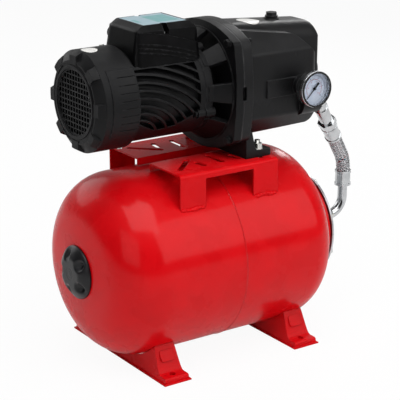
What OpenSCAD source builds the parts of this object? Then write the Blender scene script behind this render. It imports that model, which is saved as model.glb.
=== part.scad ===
// Booster pump set: a self-priming jet pump on a horizontal membrane tank.
// X runs from the motor fan end to the pump end, -Y faces the gauge side,
// Z is up, and the origin is the centre of the foot holes on the floor.

/* [View] */
// Sub-part to draw

/* [Tank] */
// Outside radius of the tank barrel
tank_r = 135; // [130:0.5:140]
// Gap between the tank and the floor
floor_gap = 11; // [9:0.5:14]
// Half length of the straight barrel
barrel_half = 125; // [120:0.5:130]
// Depth of each domed end
dome_d = 77; // [74:0.5:80]
// Knuckle radius of the domed ends
knuckle_r = 50; // [46:0.5:54]
// Sheet thickness of the tank
tank_t = 1.4; // [1:0.1:2]
// Radius of the opening at the connection end
mouth_r = 46; // [42:0.5:48]
// Height of the seam weld over the sheet
seam_h = 0.7; // [0.5:0.1:1.2]

/* [Membrane and tank flange] */
// Gap between the tank wall and the rubber bag
bag_gap = 16; // [12:1:24]
// Thickness of the rubber bag
bag_t = 2.2; // [1.6:0.2:3]
// Outside radius of the flange plate
flange_r = 83; // [82:0.5:85]
// Thickness of the flange plate
flange_t = 3; // [2.5:0.25:4]
// Pitch circle radius of the flange bolts
flange_bolt_r = 75; // [73:0.5:76]
// Number of flange bolts
flange_bolts_n = 8; // [6:1:10]
// Bore radius of the tank connection
tank_port_r = 15; // [13:0.5:16]

/* [Air valve and cap] */
// Outside radius of the valve cap
cap_r = 39; // [37:0.5:41]
// Height of the valve cap over the dome
cap_h = 13; // [12:0.5:16]
// Number of finger hollows in the cap
cap_scoops = 6; // [4:1:8]
// Radius of the air valve stem
valve_r = 6; // [5:0.25:7]
// Radius of the valve pin
pin_r = 1.6; // [1.4:0.1:1.8]

/* [Feet] */
// Distance between the two feet
foot_span = 230; // [224:1:236]
// Width of a foot on the floor
foot_w = 45; // [42:0.5:48]
// Overall length of a foot
foot_l = 258; // [254:1:264]
// Distance between the two holes of one foot
foot_hole_span = 228; // [224:1:232]
// Radius of the foot holes
foot_hole_r = 4.5; // [3.5:0.25:5]
// Sheet thickness of the feet
foot_t = 2.5; // [2:0.25:3]
// Height of the foot pads
pad_h = 9; // [8:0.5:10]

/* [Pump bracket] */
// Gap between the tank top and the top of the bracket plate
plate_gap = 11; // [9:0.5:13]
// Left end of the bracket
rail_x0 = -88; // [-90:0.5:-86]
// Right end of the bracket
rail_x1 = 81; // [80:0.5:83]
// Outer face of the bracket sides from the middle
rail_y = 95.5; // [94:0.5:97]
// Inner edge of each rail from the middle
rail_in = 16; // [14:0.5:20]
// Sheet thickness of the bracket
rail_t = 2.5; // [2:0.25:3]
// Depth of the bent inner lip
lip_h = 11; // [9:0.5:13]
// Width of a bracket leg
leg_w = 43; // [40:0.5:46]
// Width of the bracket slots
slot_w = 8.5; // [7:0.25:9.5]

/* [Pump] */
// Gap between the casing flange and the bracket plate
flange_gap = 8; // [6:0.5:10]
// Half width of the casing flange at its middle
flange_hw = 89.5; // [88:0.5:91]
// Half height of the casing flange
flange_hh = 93; // [91:0.5:94]
// Arch radius of the casing flange at its top and bottom
flange_arc = 160; // [150:2:180]
// Radius of the round opening of the lantern flange
lantern_r = 81; // [80:0.25:82]
// Half width of the pump body
body_hw = 72; // [70:0.5:74]
// Right end of the pump shoulders
body_x = 170; // [167:0.5:172]
// Right end of the upper body
hump_x = 197; // [194:0.5:199]
// Half width of the upper body
hump_hw = 38; // [36:0.5:40]
// Distance of the casing bolts from the axis, each way
casing_bolt_d = 70; // [69:0.25:71]
// Radius of the impeller chamber
chamber_r = 62; // [60:0.5:64]
// Outside radius of the impeller
impeller_r = 56; // [53:0.5:58]
// Bore radius of the suction and outlet ports
port_r = 15.1; // [14.5:0.1:15.5]
// Depth of the port threads
port_l = 18; // [16:0.5:20]
// Distance of the foot bolts from the middle
foot_bolt_y = 70; // [68:0.5:72]

/* [Motor] */
// Root radius of the motor frame between the fins
drum_r = 58; // [57:0.25:59]
// Outer radius of the fins
fin_r = 66; // [65:0.25:67]
// Thickness of a fin
fin_t = 3.2; // [2.6:0.1:3.8]
// Step between neighbouring fins at the fan end
fin_pitch = 10.4; // [10:0.1:11]
// Bow radius of the first fin
fin_bow = 164; // [156:1:172]
// Bow radius lost from one fin to the next
fin_bow_step = 20; // [18:0.5:21]
// Bore radius of the motor frame
frame_bore = 53; // [52:0.25:54]
// Radius of the motor shaft in the bearings
shaft_r = 7.5; // [7:0.1:8]
// Air gap between the rotor and the stator
air_gap = 0.5; // [0.4:0.05:0.7]

/* [Fan and fan cover] */
// Outside radius of the fan cover
cover_r = 72; // [71:0.25:73]
// Radius of the front face of the cover
cover_face_r = 58; // [56:0.5:60]
// Radius of the round grille
grille_r = 45; // [43:0.5:47]
// Step of the grille mesh
mesh_pitch = 7.5; // [7:0.25:8.5]
// Width of a mesh bar
mesh_bar = 1.8; // [1.4:0.1:2.4]
// Number of blades on the fan
fan_blades = 8; // [6:1:10]
// Tip radius of the fan
fan_r = 54; // [50:0.5:56]

/* [Terminal box] */
// Half width of the terminal box
box_hw = 43; // [42:0.5:45]
// Left end of the terminal box
box_x0 = -123; // [-125:0.5:-121]
// Right end of the terminal box
box_x1 = -21; // [-23:0.5:-20]
// Height of the terminal box over the motor fins
box_rise = 36; // [35:0.5:39]
// Wall thickness of the terminal box
box_t = 2.6; // [2.2:0.1:3.2]

/* [Gauge and hose] */
// Position of the gauge along the pump
gauge_x = 137; // [135:0.5:139]
// Drop of the gauge and the outlet below the shaft
gauge_drop = 5; // [3:0.5:8]
// Radius of the gauge case
gauge_r = 25; // [24:0.25:26.5]
// Outer radius of the braided hose
hose_r = 11; // [10:0.25:12]
// Bend radius of the hose
hose_bend = 42; // [36:0.5:48]
// Radius of the chromed elbow tube
tube_r = 7.5; // [7:0.25:8]
// Distance of the upright hose end from the tank middle
hose_x = 284; // [281:0.5:287]

/* [Clearances] */
// Radial clearance of shafts in their bearings
run_gap = 0.03; // [0.02:0.01:0.08]
// Gap around parts that move or lift out
move_gap = 0.4; // [0.3:0.05:0.6]

/* [Hidden] */
$fn = 64;
// past-the-face overlap used by cutting shapes
cut = 1;
red = [0.80, 0.05, 0.08];
black = [0.13, 0.13, 0.14];
steel = [0.75, 0.76, 0.78];
zinc = [0.70, 0.71, 0.72];
brass = [0.80, 0.64, 0.30];
copper = [0.72, 0.42, 0.22];
rubber = [0.08, 0.08, 0.08];
white = [0.93, 0.94, 0.95];
glass = [0.85, 0.93, 0.96, 0.35];

// crown of the domed ends, from depth, knuckle and barrel radius
knuckle_c = tank_r - knuckle_r;
crown_r = (dome_d * dome_d - knuckle_r * knuckle_r + knuckle_c * knuckle_c)
  / (2 * (dome_d - knuckle_r));
crown_c = dome_d - crown_r;
tank_end = barrel_half + dome_d;
// x of the outer dome surface at a radius
function dome_x(r) = barrel_half + crown_c + sqrt(crown_r * crown_r - r * r);

// tank neck and flange stack along X
neck_x = tank_end - 7;
neck_ring_t = 5;
lip_x = neck_x + bag_t;
flange_x = lip_x + flange_t;
// reach of the flange bolts behind the face of the neck ring
bolt_hold = 3.2;
hub_x = flange_x + 12;
hub_r = 23;

// heights above the floor, each from what carries it
tank_z = tank_r + floor_gap;
plate_z = tank_z + tank_r + plate_gap;
shaft_z = plate_z + flange_gap + flange_hh;
box_top = shaft_z + fin_r + box_rise;
gauge_z = shaft_z - gauge_drop;

// pump and lantern stack along X
lantern_x0 = 11;
gasket_x0 = 24;
gasket_t = 1.5;
body_x0 = gasket_x0 + gasket_t;
body_flange_x = body_x0 + 14.5;
// wall of the spacer sleeves under the foot holes
sleeve_t = 3;
// a foot starts to rise this far inside its holes
rise_in = 2;
foot_top = plate_z + 11;
foot_x1 = 80;
foot_bolt_x = 62;
body_low = 73;
body_low_hw = 52;
body_bottom = shaft_z - body_low;
hump_r = 18;
plug_z = shaft_z + 82;
plug_r = 7;
chamber_x = 104;
neck_r = 30;
suction_x = hump_x + 12;
imp_x0 = gasket_x0 + 17;
port_boss_r = 23;

// motor stack along X
cover_back = -136;
motor_x0 = -144;
frame_x0 = -137;
frame_x1 = -24;
hub_back = -12;
// stator core: its ends and its inside radius
core_x0 = frame_x0 + 25;
core_x1 = frame_x1 - 20;
core_r = frame_bore - 17;
bearing_w = 11;
bearing_r = 17.5;
rear_bearing_x = motor_x0 + 1;
tie_r = fin_r - 1;
tie_lug_r = 7.5;
rear_screw_r = (frame_bore + fin_r) / 2 + 0.5;
// each lug stands back from the joint face by this
seam_gap = 0.2;
lug_l = 12;
screw_head = 4;
tie_angles = [25, 115, 205, 295];
rear_angles = [60, 120, 240, 300];
cover_x0 = -199;
cover_full_x = -189;
panel_x0 = -179;
cover_t = 2;
screw_angles = [72, 348, 252];
screw_at = (motor_x0 + frame_x0) / 2;
head_sink = 0.6;

// terminal box: cable gland, cover screws, label and number of steps of the parting line
gland_x = box_x0 + 27;
gland_z = shaft_z + fin_r + 10;
gland_seat = box_hw + 3;
screw_x = box_x0 + 48;
screw_y = box_hw - 9;
label_x0 = box_x0 + 17;
label_x1 = box_x1 - 15;
label_hw = box_hw - 10;
part_n = 8;
// side draft of the base, lean of its left end, and top of its floor
box_draft = 4;
box_lean = 8;
base_z = shaft_z + fin_r - 20.5;
floor_z = shaft_z + fin_r + 2;
// height of the parting line at a place along the box
function part_at(x) = let (s = (x - box_x0) / (box_x1 - box_x0)) box_top - 7.3 - 9.9 * s - 14.2 * s * s;
pocket_z = part_at(screw_x) + 0.8;

// gauge stack along Y, and the turn of its pointer at rest
boss_y = -body_hw - 10;
face_y = boss_y - 30;
gauge_back = face_y + 17;
boss_r = 15;
pointer_rest = 135;

// hose plane: from the outlet elbow centre to the upright end over the tank port
elbow_p = [body_x + 5, 8 - body_hw, shaft_z - 33];
hose_dx = hose_x - elbow_p[0];
hose_dy = -elbow_p[1];
hose_run = sqrt(hose_dx * hose_dx + hose_dy * hose_dy);
hose_turn = atan2(hose_dy, hose_dx);
ferrule_z = tank_z + 46;
ferrule_l = 24;
hose_end_z = ferrule_z + ferrule_l;
hose_drop = elbow_p[2] - hose_end_z;
// slope from the plumb line and straight length that meet the upright end exactly
hose_reach = sqrt(pow(hose_run - hose_bend, 2) + hose_drop * hose_drop);
hose_tilt = atan2(hose_run - hose_bend, hose_drop) + asin(hose_bend / hose_reach);
hose_str = sqrt(hose_reach * hose_reach - hose_bend * hose_bend);
swivel_l = 62;
swivel_in = 6;
nut_l = 14;
upper_ferrule = swivel_l + nut_l;
upper_ferrule_l = 32;
elbow_bend = 28;
tube_top = tank_z + elbow_bend;

// drawing helpers
module xcyl(x0, x1, r, y = 0, z = 0) {
  translate([x0, y, z]) rotate([0, 90, 0]) cylinder(r = r, h = x1 - x0);
}
module ycyl(y0, y1, r, x = 0, z = 0) {
  translate([x, y0, z]) rotate([-90, 0, 0]) cylinder(r = r, h = y1 - y0);
}
module xtube(x0, x1, ro, ri, z = 0) {
  difference() {
    xcyl(x0, x1, ro, 0, z);
    xcyl(x0 - cut, x1 + cut, ri, 0, z);
  }
}
// revolves a profile of radius and axial place about the X axis at height z
module xturn(z) {
  translate([0, 0, z]) rotate([0, 90, 0]) rotate_extrude($fn = 96) children();
}
// a flat shape in Y and Z, extruded along X
module yz(x0, x1) {
  translate([x0, 0, 0]) rotate([90, 0, 90]) linear_extrude(x1 - x0) children();
}
// a flat shape in X and Z, extruded along Y
module xz(y0, y1) {
  translate([0, y1, 0]) rotate([90, 0, 0]) linear_extrude(y1 - y0) children();
}
module box(x0, x1, y0, y1, z0, z1) {
  translate([x0, y0, z0]) cube([x1 - x0, y1 - y0, z1 - z0]);
}
module rrect(w, h, r) {
  square([w - 2 * r, h], center = true);
  square([w, h - 2 * r], center = true);
  for (sx = [-1, 1], sy = [-1, 1])
    translate([sx * (w / 2 - r), sy * (h / 2 - r)]) circle(r);
}
// slot between two points; its ends are a hair fuller than its sides
module slot2d(p, q, w) {
  d = q - p;
  flat = w - 0.1;
  translate(p) circle(w / 2, $fn = 24);
  translate(q) circle(w / 2, $fn = 24);
  translate(p) rotate(atan2(d[1], d[0])) translate([0, -flat / 2]) square([norm(d), flat]);
}
// arc of n steps that rounds corner p between its neighbours a and b
function corner(p, a, b, r, n) = let (u = (a - p) / norm(a - p), v = (b - p) / norm(b - p),
  half = acos(u * v) / 2, m = (u + v) / norm(u + v), c = p + m * r / sin(half),
  q = p + u * r / tan(half) - c, w = p + v * r / tan(half) - c,
  start = atan2(q[1], q[0]), turn = (q[0] * w[1] - q[1] * w[0] > 0 ? 1 : -1) * (180 - 2 * half))
  [for (i = [0 : n]) c + r * [cos(start + turn * i / n), sin(start + turn * i / n)]];
// a convex outline with every corner rounded
function rounded(p, r, n = 6) = [for (i = [0 : len(p) - 1])
  each corner(p[i], p[(i + len(p) - 1) % len(p)], p[(i + 1) % len(p)], r, n)];
// places a shape that stands up from the shaft axis at an angle round it
module about(a) {
  translate([0, 0, shaft_z]) rotate([a - 90, 0, 0]) children();
}
module hexbar(af, h) {
  cylinder(r = af / (2 * cos(30)), h = h, $fn = 6);
}
// hex head bolt along +z: washer, head above, shank below
module bolt(af, head, shank_r, shank, washer_r, washer) {
  if (washer > 0) cylinder(r = washer_r, h = washer);
  translate([0, 0, washer]) hexbar(af, head);
  translate([0, 0, -shank]) cylinder(r = shank_r, h = shank + washer + head / 2);
}

// tank
module head2d(off) {
  far = 2 * crown_r;
  lean = atan2(knuckle_c, -crown_c);
  intersection() {
    union() {
      intersection() {
        translate([0, crown_c]) circle(crown_r - off, $fn = 180);
        polygon([[0, crown_c], [far * sin(lean), crown_c + far * cos(lean)],
          [0, crown_c + far]]);
      }
      translate([knuckle_c, 0]) circle(knuckle_r - off, $fn = 96);
    }
    square([tank_r - off, dome_d - off]);
  }
}
// solid barrel half with its dome, shrunk by off, towards side (-1 or 1)
module half_tank(off, side, x_in) {
  xturn(tank_z) mirror([0, side < 0 ? 1 : 0]) union() {
    translate([0, x_in]) square([tank_r - off, barrel_half - x_in]);
    translate([0, barrel_half]) head2d(off);
  }
}
module shell_half(side) {
  difference() {
    half_tank(0, side, 0);
    half_tank(tank_t, side, -cut);
  }
}
module tank_shell_left() {
  color(red) difference() {
    shell_half(-1);
    xcyl(-tank_end - cut, -tank_end + 10, valve_r, 0, tank_z);
  }
}
module tank_shell_right() {
  color(red) difference() {
    shell_half(1);
    xcyl(tank_end - 30, tank_end + cut, mouth_r, 0, tank_z);
    xcyl(neck_x, tank_end + cut, tank_r / 2, 0, tank_z);
  }
}
// solid barrel used to trim what stands on the tank
module barrel() {
  translate([-tank_end, 0, tank_z]) rotate([0, 90, 0])
    cylinder(r = tank_r, h = 2 * tank_end, $fn = 240);
}
module seam_weld() {
  color(red) xturn(tank_z) intersection() {
    translate([tank_r - seam_h, 0]) circle(2 * seam_h, $fn = 32);
    translate([tank_r, -10]) square([10, 20]);
  }
}
module tank_neck() {
  color(red) difference() {
    union() {
      xcyl(neck_x - 20, neck_x, mouth_r + 9, 0, tank_z);
      xcyl(neck_x - neck_ring_t, neck_x, flange_r - 2, 0, tank_z);
    }
    half_tank(0, 1, 0);
    xcyl(neck_x - 30, neck_x + cut, mouth_r - 1, 0, tank_z);
    flange_pattern() cylinder(r = 3.2, h = 60, center = true);
  }
}
module flange_pattern() {
  for (i = [0 : flange_bolts_n - 1])
    translate([0, 0, tank_z]) rotate([(i + 0.5) * 360 / flange_bolts_n, 0, 0])
      translate([neck_x, 0, flange_bolt_r]) rotate([0, 90, 0]) children();
}
module bag2d(off) {
  translate([0, 0]) square([tank_r - off, barrel_half]);
  translate([0, barrel_half]) head2d(off);
}
module membrane() {
  o = tank_t + bag_gap;
  neck = mouth_r - 1 - 2;
  color(rubber) xturn(tank_z) {
    difference() {
      union() {
        bag2d(o);
        mirror([0, 1]) bag2d(o);
        square([neck, neck_x]);
        translate([0, neck_x]) square([flange_bolt_r - 8, bag_t]);
      }
      bag2d(o + bag_t);
      mirror([0, 1]) bag2d(o + bag_t);
      square([neck - bag_t, lip_x + cut]);
    }
  }
}
module tank_flange() {
  color(zinc) difference() {
    union() {
      xcyl(lip_x, flange_x, flange_r, 0, tank_z);
      xcyl(flange_x, flange_x + 2.5, mouth_r, 0, tank_z);
      xcyl(flange_x, hub_x, hub_r, 0, tank_z);
    }
    xcyl(lip_x - cut, hub_x + cut, tank_port_r, 0, tank_z);
    flange_pattern() cylinder(r = 3.2, h = 60, center = true);
  }
}
module tank_bolts() {
  color(zinc) flange_pattern() translate([0, 0, flange_x - neck_x])
    bolt(10, 4.5, 3, flange_x - neck_x + bolt_hold, 6.5, 1.2);
}
module air_valve() {
  out = tank_end + 8;
  color(brass) difference() {
    union() {
      xcyl(-out, -tank_end + 8, valve_r, 0, tank_z);
      difference() {
        translate([-tank_end - 3, 0, tank_z]) rotate([0, 90, 0]) hexbar(19, 5);
        half_tank(0, -1, 0);
      }
      intersection() {
        xcyl(-tank_end, -tank_end + 6, 12, 0, tank_z);
        half_tank(tank_t, -1, 0);
      }
    }
    xcyl(-out - cut, -out + 5, 3.4, 0, tank_z);
    xcyl(-out, -tank_end + 8 + cut, pin_r + run_gap, 0, tank_z);
  }
}
module valve_pin() {
  out = tank_end + 8;
  color(steel) {
    xcyl(-out + 1, -tank_end + 6, pin_r, 0, tank_z);
    xcyl(-out + 1.5, -out + 2.5, 2.6, 0, tank_z);
  }
}
module valve_cap() {
  rim_x = -dome_x(cap_r - 3);
  front = -tank_end - cap_h + 1;
  color(black) difference() {
    union() {
      xcyl(rim_x - 4, rim_x + 4, cap_r, 0, tank_z);
      translate([front, 0, tank_z]) rotate([0, 90, 0])
        cylinder(r1 = cap_r - 9, r2 = cap_r - 1.5, h = rim_x - 3.9 - front, $fn = 96);
    }
    half_tank(-0.05, -1, 0);
    xcyl(front + 2.2, -tank_end + 20, 16, 0, tank_z);
    for (i = [0 : cap_scoops - 1])
      translate([0, 0, tank_z]) rotate([i * 360 / cap_scoops, 0, 0])
        translate([front - cut, 0, cap_r - 12]) rotate([0, 90, 0])
          cylinder(r1 = 8.5, r2 = 5.5, h = 7.5);
    xtube(front - cut, front + 0.6, 9, 8, tank_z);
    xtube(front - cut, front + 0.6, 5, 4, tank_z);
  }
}

// feet
// half outline of a foot seen along X: floor, pad, S-shaped rise
function foot_rise(n) = [for (i = [0 : n]) let (s = i / n, w = s * s * (3 - 2 * s))
  [foot_hole_span / 2 - rise_in - 26 * s, pad_h + 42 * w]];
module foot_side2d(inset) {
  half = foot_l / 2 - 3;
  low = inset > 0 ? -cut : 0;
  for (m = [0, 1]) mirror([m, 0]) polygon(concat([[-cut, low], [half - inset, low],
    [half - inset, pad_h - 2 - inset], [half - 2 - inset, pad_h - inset]],
    [for (p = foot_rise(8)) [p[0] - inset * 0.7, p[1] - inset]],
    [[60, pad_h + 44 - inset], [-cut, pad_h + 44 - inset]]));
}
module foot_end2d(inset) {
  top = pad_h + 46;
  polygon([[-foot_w / 2 + 2 + inset, -2 * cut], [foot_w / 2 - 2 - inset, -2 * cut],
    [foot_w / 2 - 7 - inset, top], [-foot_w / 2 + 7 + inset, top]]);
}
module foot_form(inset) {
  intersection() {
    yz(-foot_w, foot_w) foot_side2d(inset);
    xz(-foot_l, foot_l) foot_end2d(inset);
  }
}
module foot(x) {
  color(red) translate([x, 0, 0]) difference() {
    union() {
      difference() {
        union() {
          foot_form(0);
          box(-foot_w / 2, foot_w / 2, -foot_l / 2, foot_l / 2, 0, 2);
          for (s = [-1, 1]) translate([0, s * (foot_hole_span / 2 - rise_in - 14.5), pad_h + 22])
            rotate([s * -58, 0, 0]) linear_extrude(3) rrect(22, 17, 4);
        }
        foot_form(foot_t);
      }
      // spacer sleeves under the bolt holes
      for (s = [-1, 1]) translate([0, s * foot_hole_span / 2, 0])
        cylinder(r = foot_hole_r + sleeve_t, h = pad_h - 1);
    }
    translate([-x, 0, 0]) barrel();
    for (s = [-1, 1]) translate([0, s * foot_hole_span / 2, -cut])
      cylinder(r = foot_hole_r, h = 40);
  }
}
module foot_left() { foot(-foot_span / 2); }
module foot_right() { foot(foot_span / 2); }

// bracket
module rail2d() {
  r = 2 * rail_t;
  translate([rail_in, plate_z - rail_t]) square([rail_y - r - rail_in, rail_t]);
  translate([rail_in, plate_z - lip_h]) square([rail_t, lip_h]);
  translate([rail_y - rail_t, tank_z]) square([rail_t, plate_z - r - tank_z]);
  translate([rail_y - r, plate_z - r]) intersection() {
    difference() {
      circle(r, $fn = 40);
      circle(r - rail_t, $fn = 40);
    }
    square([r, r]);
  }
}
module rail() {
  color(red) difference() {
    yz(rail_x0, rail_x1) rail2d();
    box(rail_x0 + leg_w, rail_x1 - leg_w, rail_y - 20, rail_y + 5, tank_z - 5, plate_z - 10);
    barrel();
    translate([0, 0, plate_z - 5]) linear_extrude(10) {
      slot2d([-70, 68], [-36, 34], slot_w);
      slot2d([-31, 50], [-29, 67], slot_w);
      slot2d([2, 29], [3, 66], slot_w);
      slot2d([31, 46], [32, 66], slot_w);
      slot2d([foot_bolt_x, foot_bolt_y - 9], [foot_bolt_x, foot_bolt_y + 9], 9);
    }
  }
}
module rail_near() { mirror([0, 1, 0]) rail(); }
module rail_far() { rail(); }
module rail_welds() {
  z = tank_z + sqrt(tank_r * tank_r - rail_y * rail_y);
  color(red) for (s = [-1, 1], x = [rail_x0, rail_x1 - leg_w]) difference() {
    union() {
      xcyl(x + 1, x + leg_w - 1, 3, s * rail_y, z);
      for (q = [5, 16, 29]) xcyl(x + q - 3, x + q + 3, 3.9, s * (rail_y + 0.7), z - 0.6);
    }
    barrel();
    box(x - cut, x + leg_w + cut, s > 0 ? rail_y - 20 : -rail_y,
      s > 0 ? rail_y : -rail_y + 20, z - 20, z + 20);
  }
}

// pump body
module flange2d() {
  side = 2 * flange_arc;
  translate([0, shaft_z]) intersection() {
    translate([0, flange_hh - flange_arc]) circle(flange_arc, $fn = 240);
    translate([0, flange_arc - flange_hh]) circle(flange_arc, $fn = 240);
    translate([flange_hw - side, 0]) circle(side, $fn = 360);
    translate([side - flange_hw, 0]) circle(side, $fn = 360);
    circle(flange_hh + 14, $fn = 240);
  }
}
module casing_bolt_places() {
  for (sy = [-1, 1], sz = [-1, 1])
    translate([lantern_x0, sy * casing_bolt_d, shaft_z + sz * casing_bolt_d]) children();
}
module shoulders2d() {
  polygon(rounded([[-body_low_hw, -body_low], [body_low_hw, -body_low], [body_hw, -46],
    [body_hw, 47], [42, 81], [-42, 81], [-body_hw, 47], [-body_hw, -46]], 9));
}
// main chamber seen from the side
module chamber_side2d() {
  polygon(concat([[0, body_bottom]], corner([body_x - 3, body_bottom + 5], [0, body_bottom],
    [body_x, shaft_z], 9, 6), [[body_x, shaft_z + 12]], corner([body_x - 3, shaft_z + 37],
    [body_x, shaft_z + 12], [body_x - 31, shaft_z + 67], 9, 6),
    corner([body_x - 31, shaft_z + 67], [body_x - 3, shaft_z + 37], [0, shaft_z + 86], 24, 6),
    [[0, shaft_z + 86]]));
}
// upper body seen from the side, its end leaning out towards the rounded top
module hump_side2d() {
  right = hump_x + 3;
  top = shaft_z + 77;
  translate([right - hump_r, top - hump_r]) circle(hump_r, $fn = 96);
  polygon([[0, shaft_z - 60], [hump_x - 14, shaft_z - 60], [hump_x, shaft_z - 46],
    [hump_x, shaft_z + 25], [right - 0.1, top - hump_r], [right - hump_r, top - 0.1],
    [body_flange_x, shaft_z + 88], [0, shaft_z + 88]]);
}
module hump2d() {
  translate([0, 10]) rrect(2 * hump_hw, 152, 15);
}
module pump_body() {
  color(black) difference() {
    union() {
      yz(body_x0, body_flange_x) flange2d();
      intersection() {
        yz(body_flange_x - cut, body_x) translate([0, shaft_z]) shoulders2d();
        xz(-200, 200) chamber_side2d();
        linear_extrude(600) translate([body_x / 2, 0]) rrect(body_x, 2 * body_hw, 13);
      }
      intersection() {
        yz(body_flange_x - cut, hump_x + 10) translate([0, shaft_z]) hump2d();
        xz(-200, 200) hump_side2d();
        linear_extrude(600) translate([hump_x / 2, 0]) rrect(hump_x + 6.2, 2 * hump_hw, 9);
      }
      // suction boss on the end, outlet bosses on both sides
      xcyl(hump_x - 10, suction_x, port_boss_r, 0, shaft_z);
      for (s = [-1, 1]) {
        box(76, gauge_x, s > 0 ? body_hw - 5 : -body_hw - 2.5,
          s > 0 ? body_hw + 2.5 : -body_hw + 5, gauge_z - 13, gauge_z + 13);
        ycyl(s > 0 ? body_hw - 10 : boss_y, s > 0 ? -boss_y : -body_hw + 10,
          s > 0 ? port_boss_r - 1 : boss_r, gauge_x, gauge_z);
      }
      xcyl(gauge_x, body_x + 1, 19, elbow_p[1], elbow_p[2]);
      // plug seat on top
      translate([gauge_x, 0, plug_z - 22]) cylinder(r = plug_r + 5, h = 22);
      // drain boss low at the end
      xcyl(hump_x - 8, hump_x + 3, 10, 0, shaft_z - 44);
      // foot
      difference() {
        union() {
          box(37, foot_x1, -78, 78, plate_z, foot_top);
          box(37, 46, -78, 78, foot_top - cut, body_bottom + 12);
          for (y = [-40, 32]) xz(y, y + 8)
            polygon([[45, foot_top - cut], [74, foot_top - cut], [56, body_bottom + 4],
              [45, body_bottom + 4]]);
          for (y = [-78, 72]) xz(y, y + 6)
            polygon([[45, foot_top - cut], [54, foot_top - cut], [47, body_bottom + 11],
              [45, body_bottom + 11]]);
        }
        for (s = [-1, 1]) translate([foot_bolt_x, s * foot_bolt_y, plate_z - cut])
          cylinder(r = 4.5, h = 20);
        translate([0, 0, plate_z - 5]) box(foot_x1 - 20, foot_x1 + 5, -24, 24, 0, 30);
      }
    }
    xcyl(body_x0 - cut, chamber_x, chamber_r, 0, shaft_z);
    xcyl(chamber_x - cut, hump_x - 12, neck_r, 0, shaft_z);
    xcyl(hump_x - 13, suction_x + cut, port_r - 2.5, 0, shaft_z);
    xcyl(suction_x - port_l, suction_x + cut, port_r, 0, shaft_z);
    // outlet port on the far side, hose port on the near side, gauge tapping
    ycyl(neck_r - 10, body_hw + 10, port_r - 2.5, gauge_x, gauge_z);
    ycyl(body_hw + 10 - port_l, body_hw + 10 + cut, port_r, gauge_x, gauge_z);
    xcyl(body_x - port_l - 5, body_x + 1 + cut, port_r - 2, elbow_p[1], elbow_p[2]);
    ycyl(boss_y - cut, -neck_r + 10, 6, gauge_x, gauge_z);
    translate([gauge_x, 0, shaft_z]) cylinder(r = plug_r + move_gap, h = 90);
    xcyl(hump_x - 30, hump_x + 4, 5 + move_gap, 0, shaft_z - 44);
    translate([hump_x - 30, 0, shaft_z - 44]) cylinder(r = 4, h = 30);
    casing_bolt_places() rotate([0, 90, 0]) cylinder(r = 3.2, h = 100, center = true);
    // pry slot at the flange joint
    for (s = [-1, 1]) box(body_x0 - cut, body_x0 + 3, s > 0 ? flange_hw - 6 : -flange_hw - cut,
      s > 0 ? flange_hw + cut : -flange_hw + 6, shaft_z - 11, shaft_z + 9);
  }
}
module casing_gasket() {
  color(rubber) difference() {
    yz(gasket_x0, body_x0) flange2d();
    xcyl(gasket_x0 - cut, body_x0 + cut, chamber_r + 6, 0, shaft_z);
    casing_bolt_places() rotate([0, 90, 0]) cylinder(r = 3.2, h = 100, center = true);
    for (s = [-1, 1]) box(gasket_x0 - cut, body_x0 + cut, s > 0 ? flange_hw - 6 : -flange_hw - cut,
      s > 0 ? flange_hw + cut : -flange_hw + 6, shaft_z - 11, shaft_z + 9);
  }
}
module casing_bolts() {
  color(black) casing_bolt_places() rotate([0, -90, 0])
    bolt(10, 4.5, 3, body_flange_x - lantern_x0 + 8, 6.2, 1.2);
}

// lantern
module spokes() {
  for (i = [0 : 7]) translate([0, 0, shaft_z]) rotate([i * 45, 0, 0])
    translate([0, 0, 50]) linear_extrude(50)
      polygon([[hub_back - 8, -11], [lantern_x0 + 3, -15], [lantern_x0 + 3, 15],
        [hub_back - 8, 11]]);
}
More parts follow.
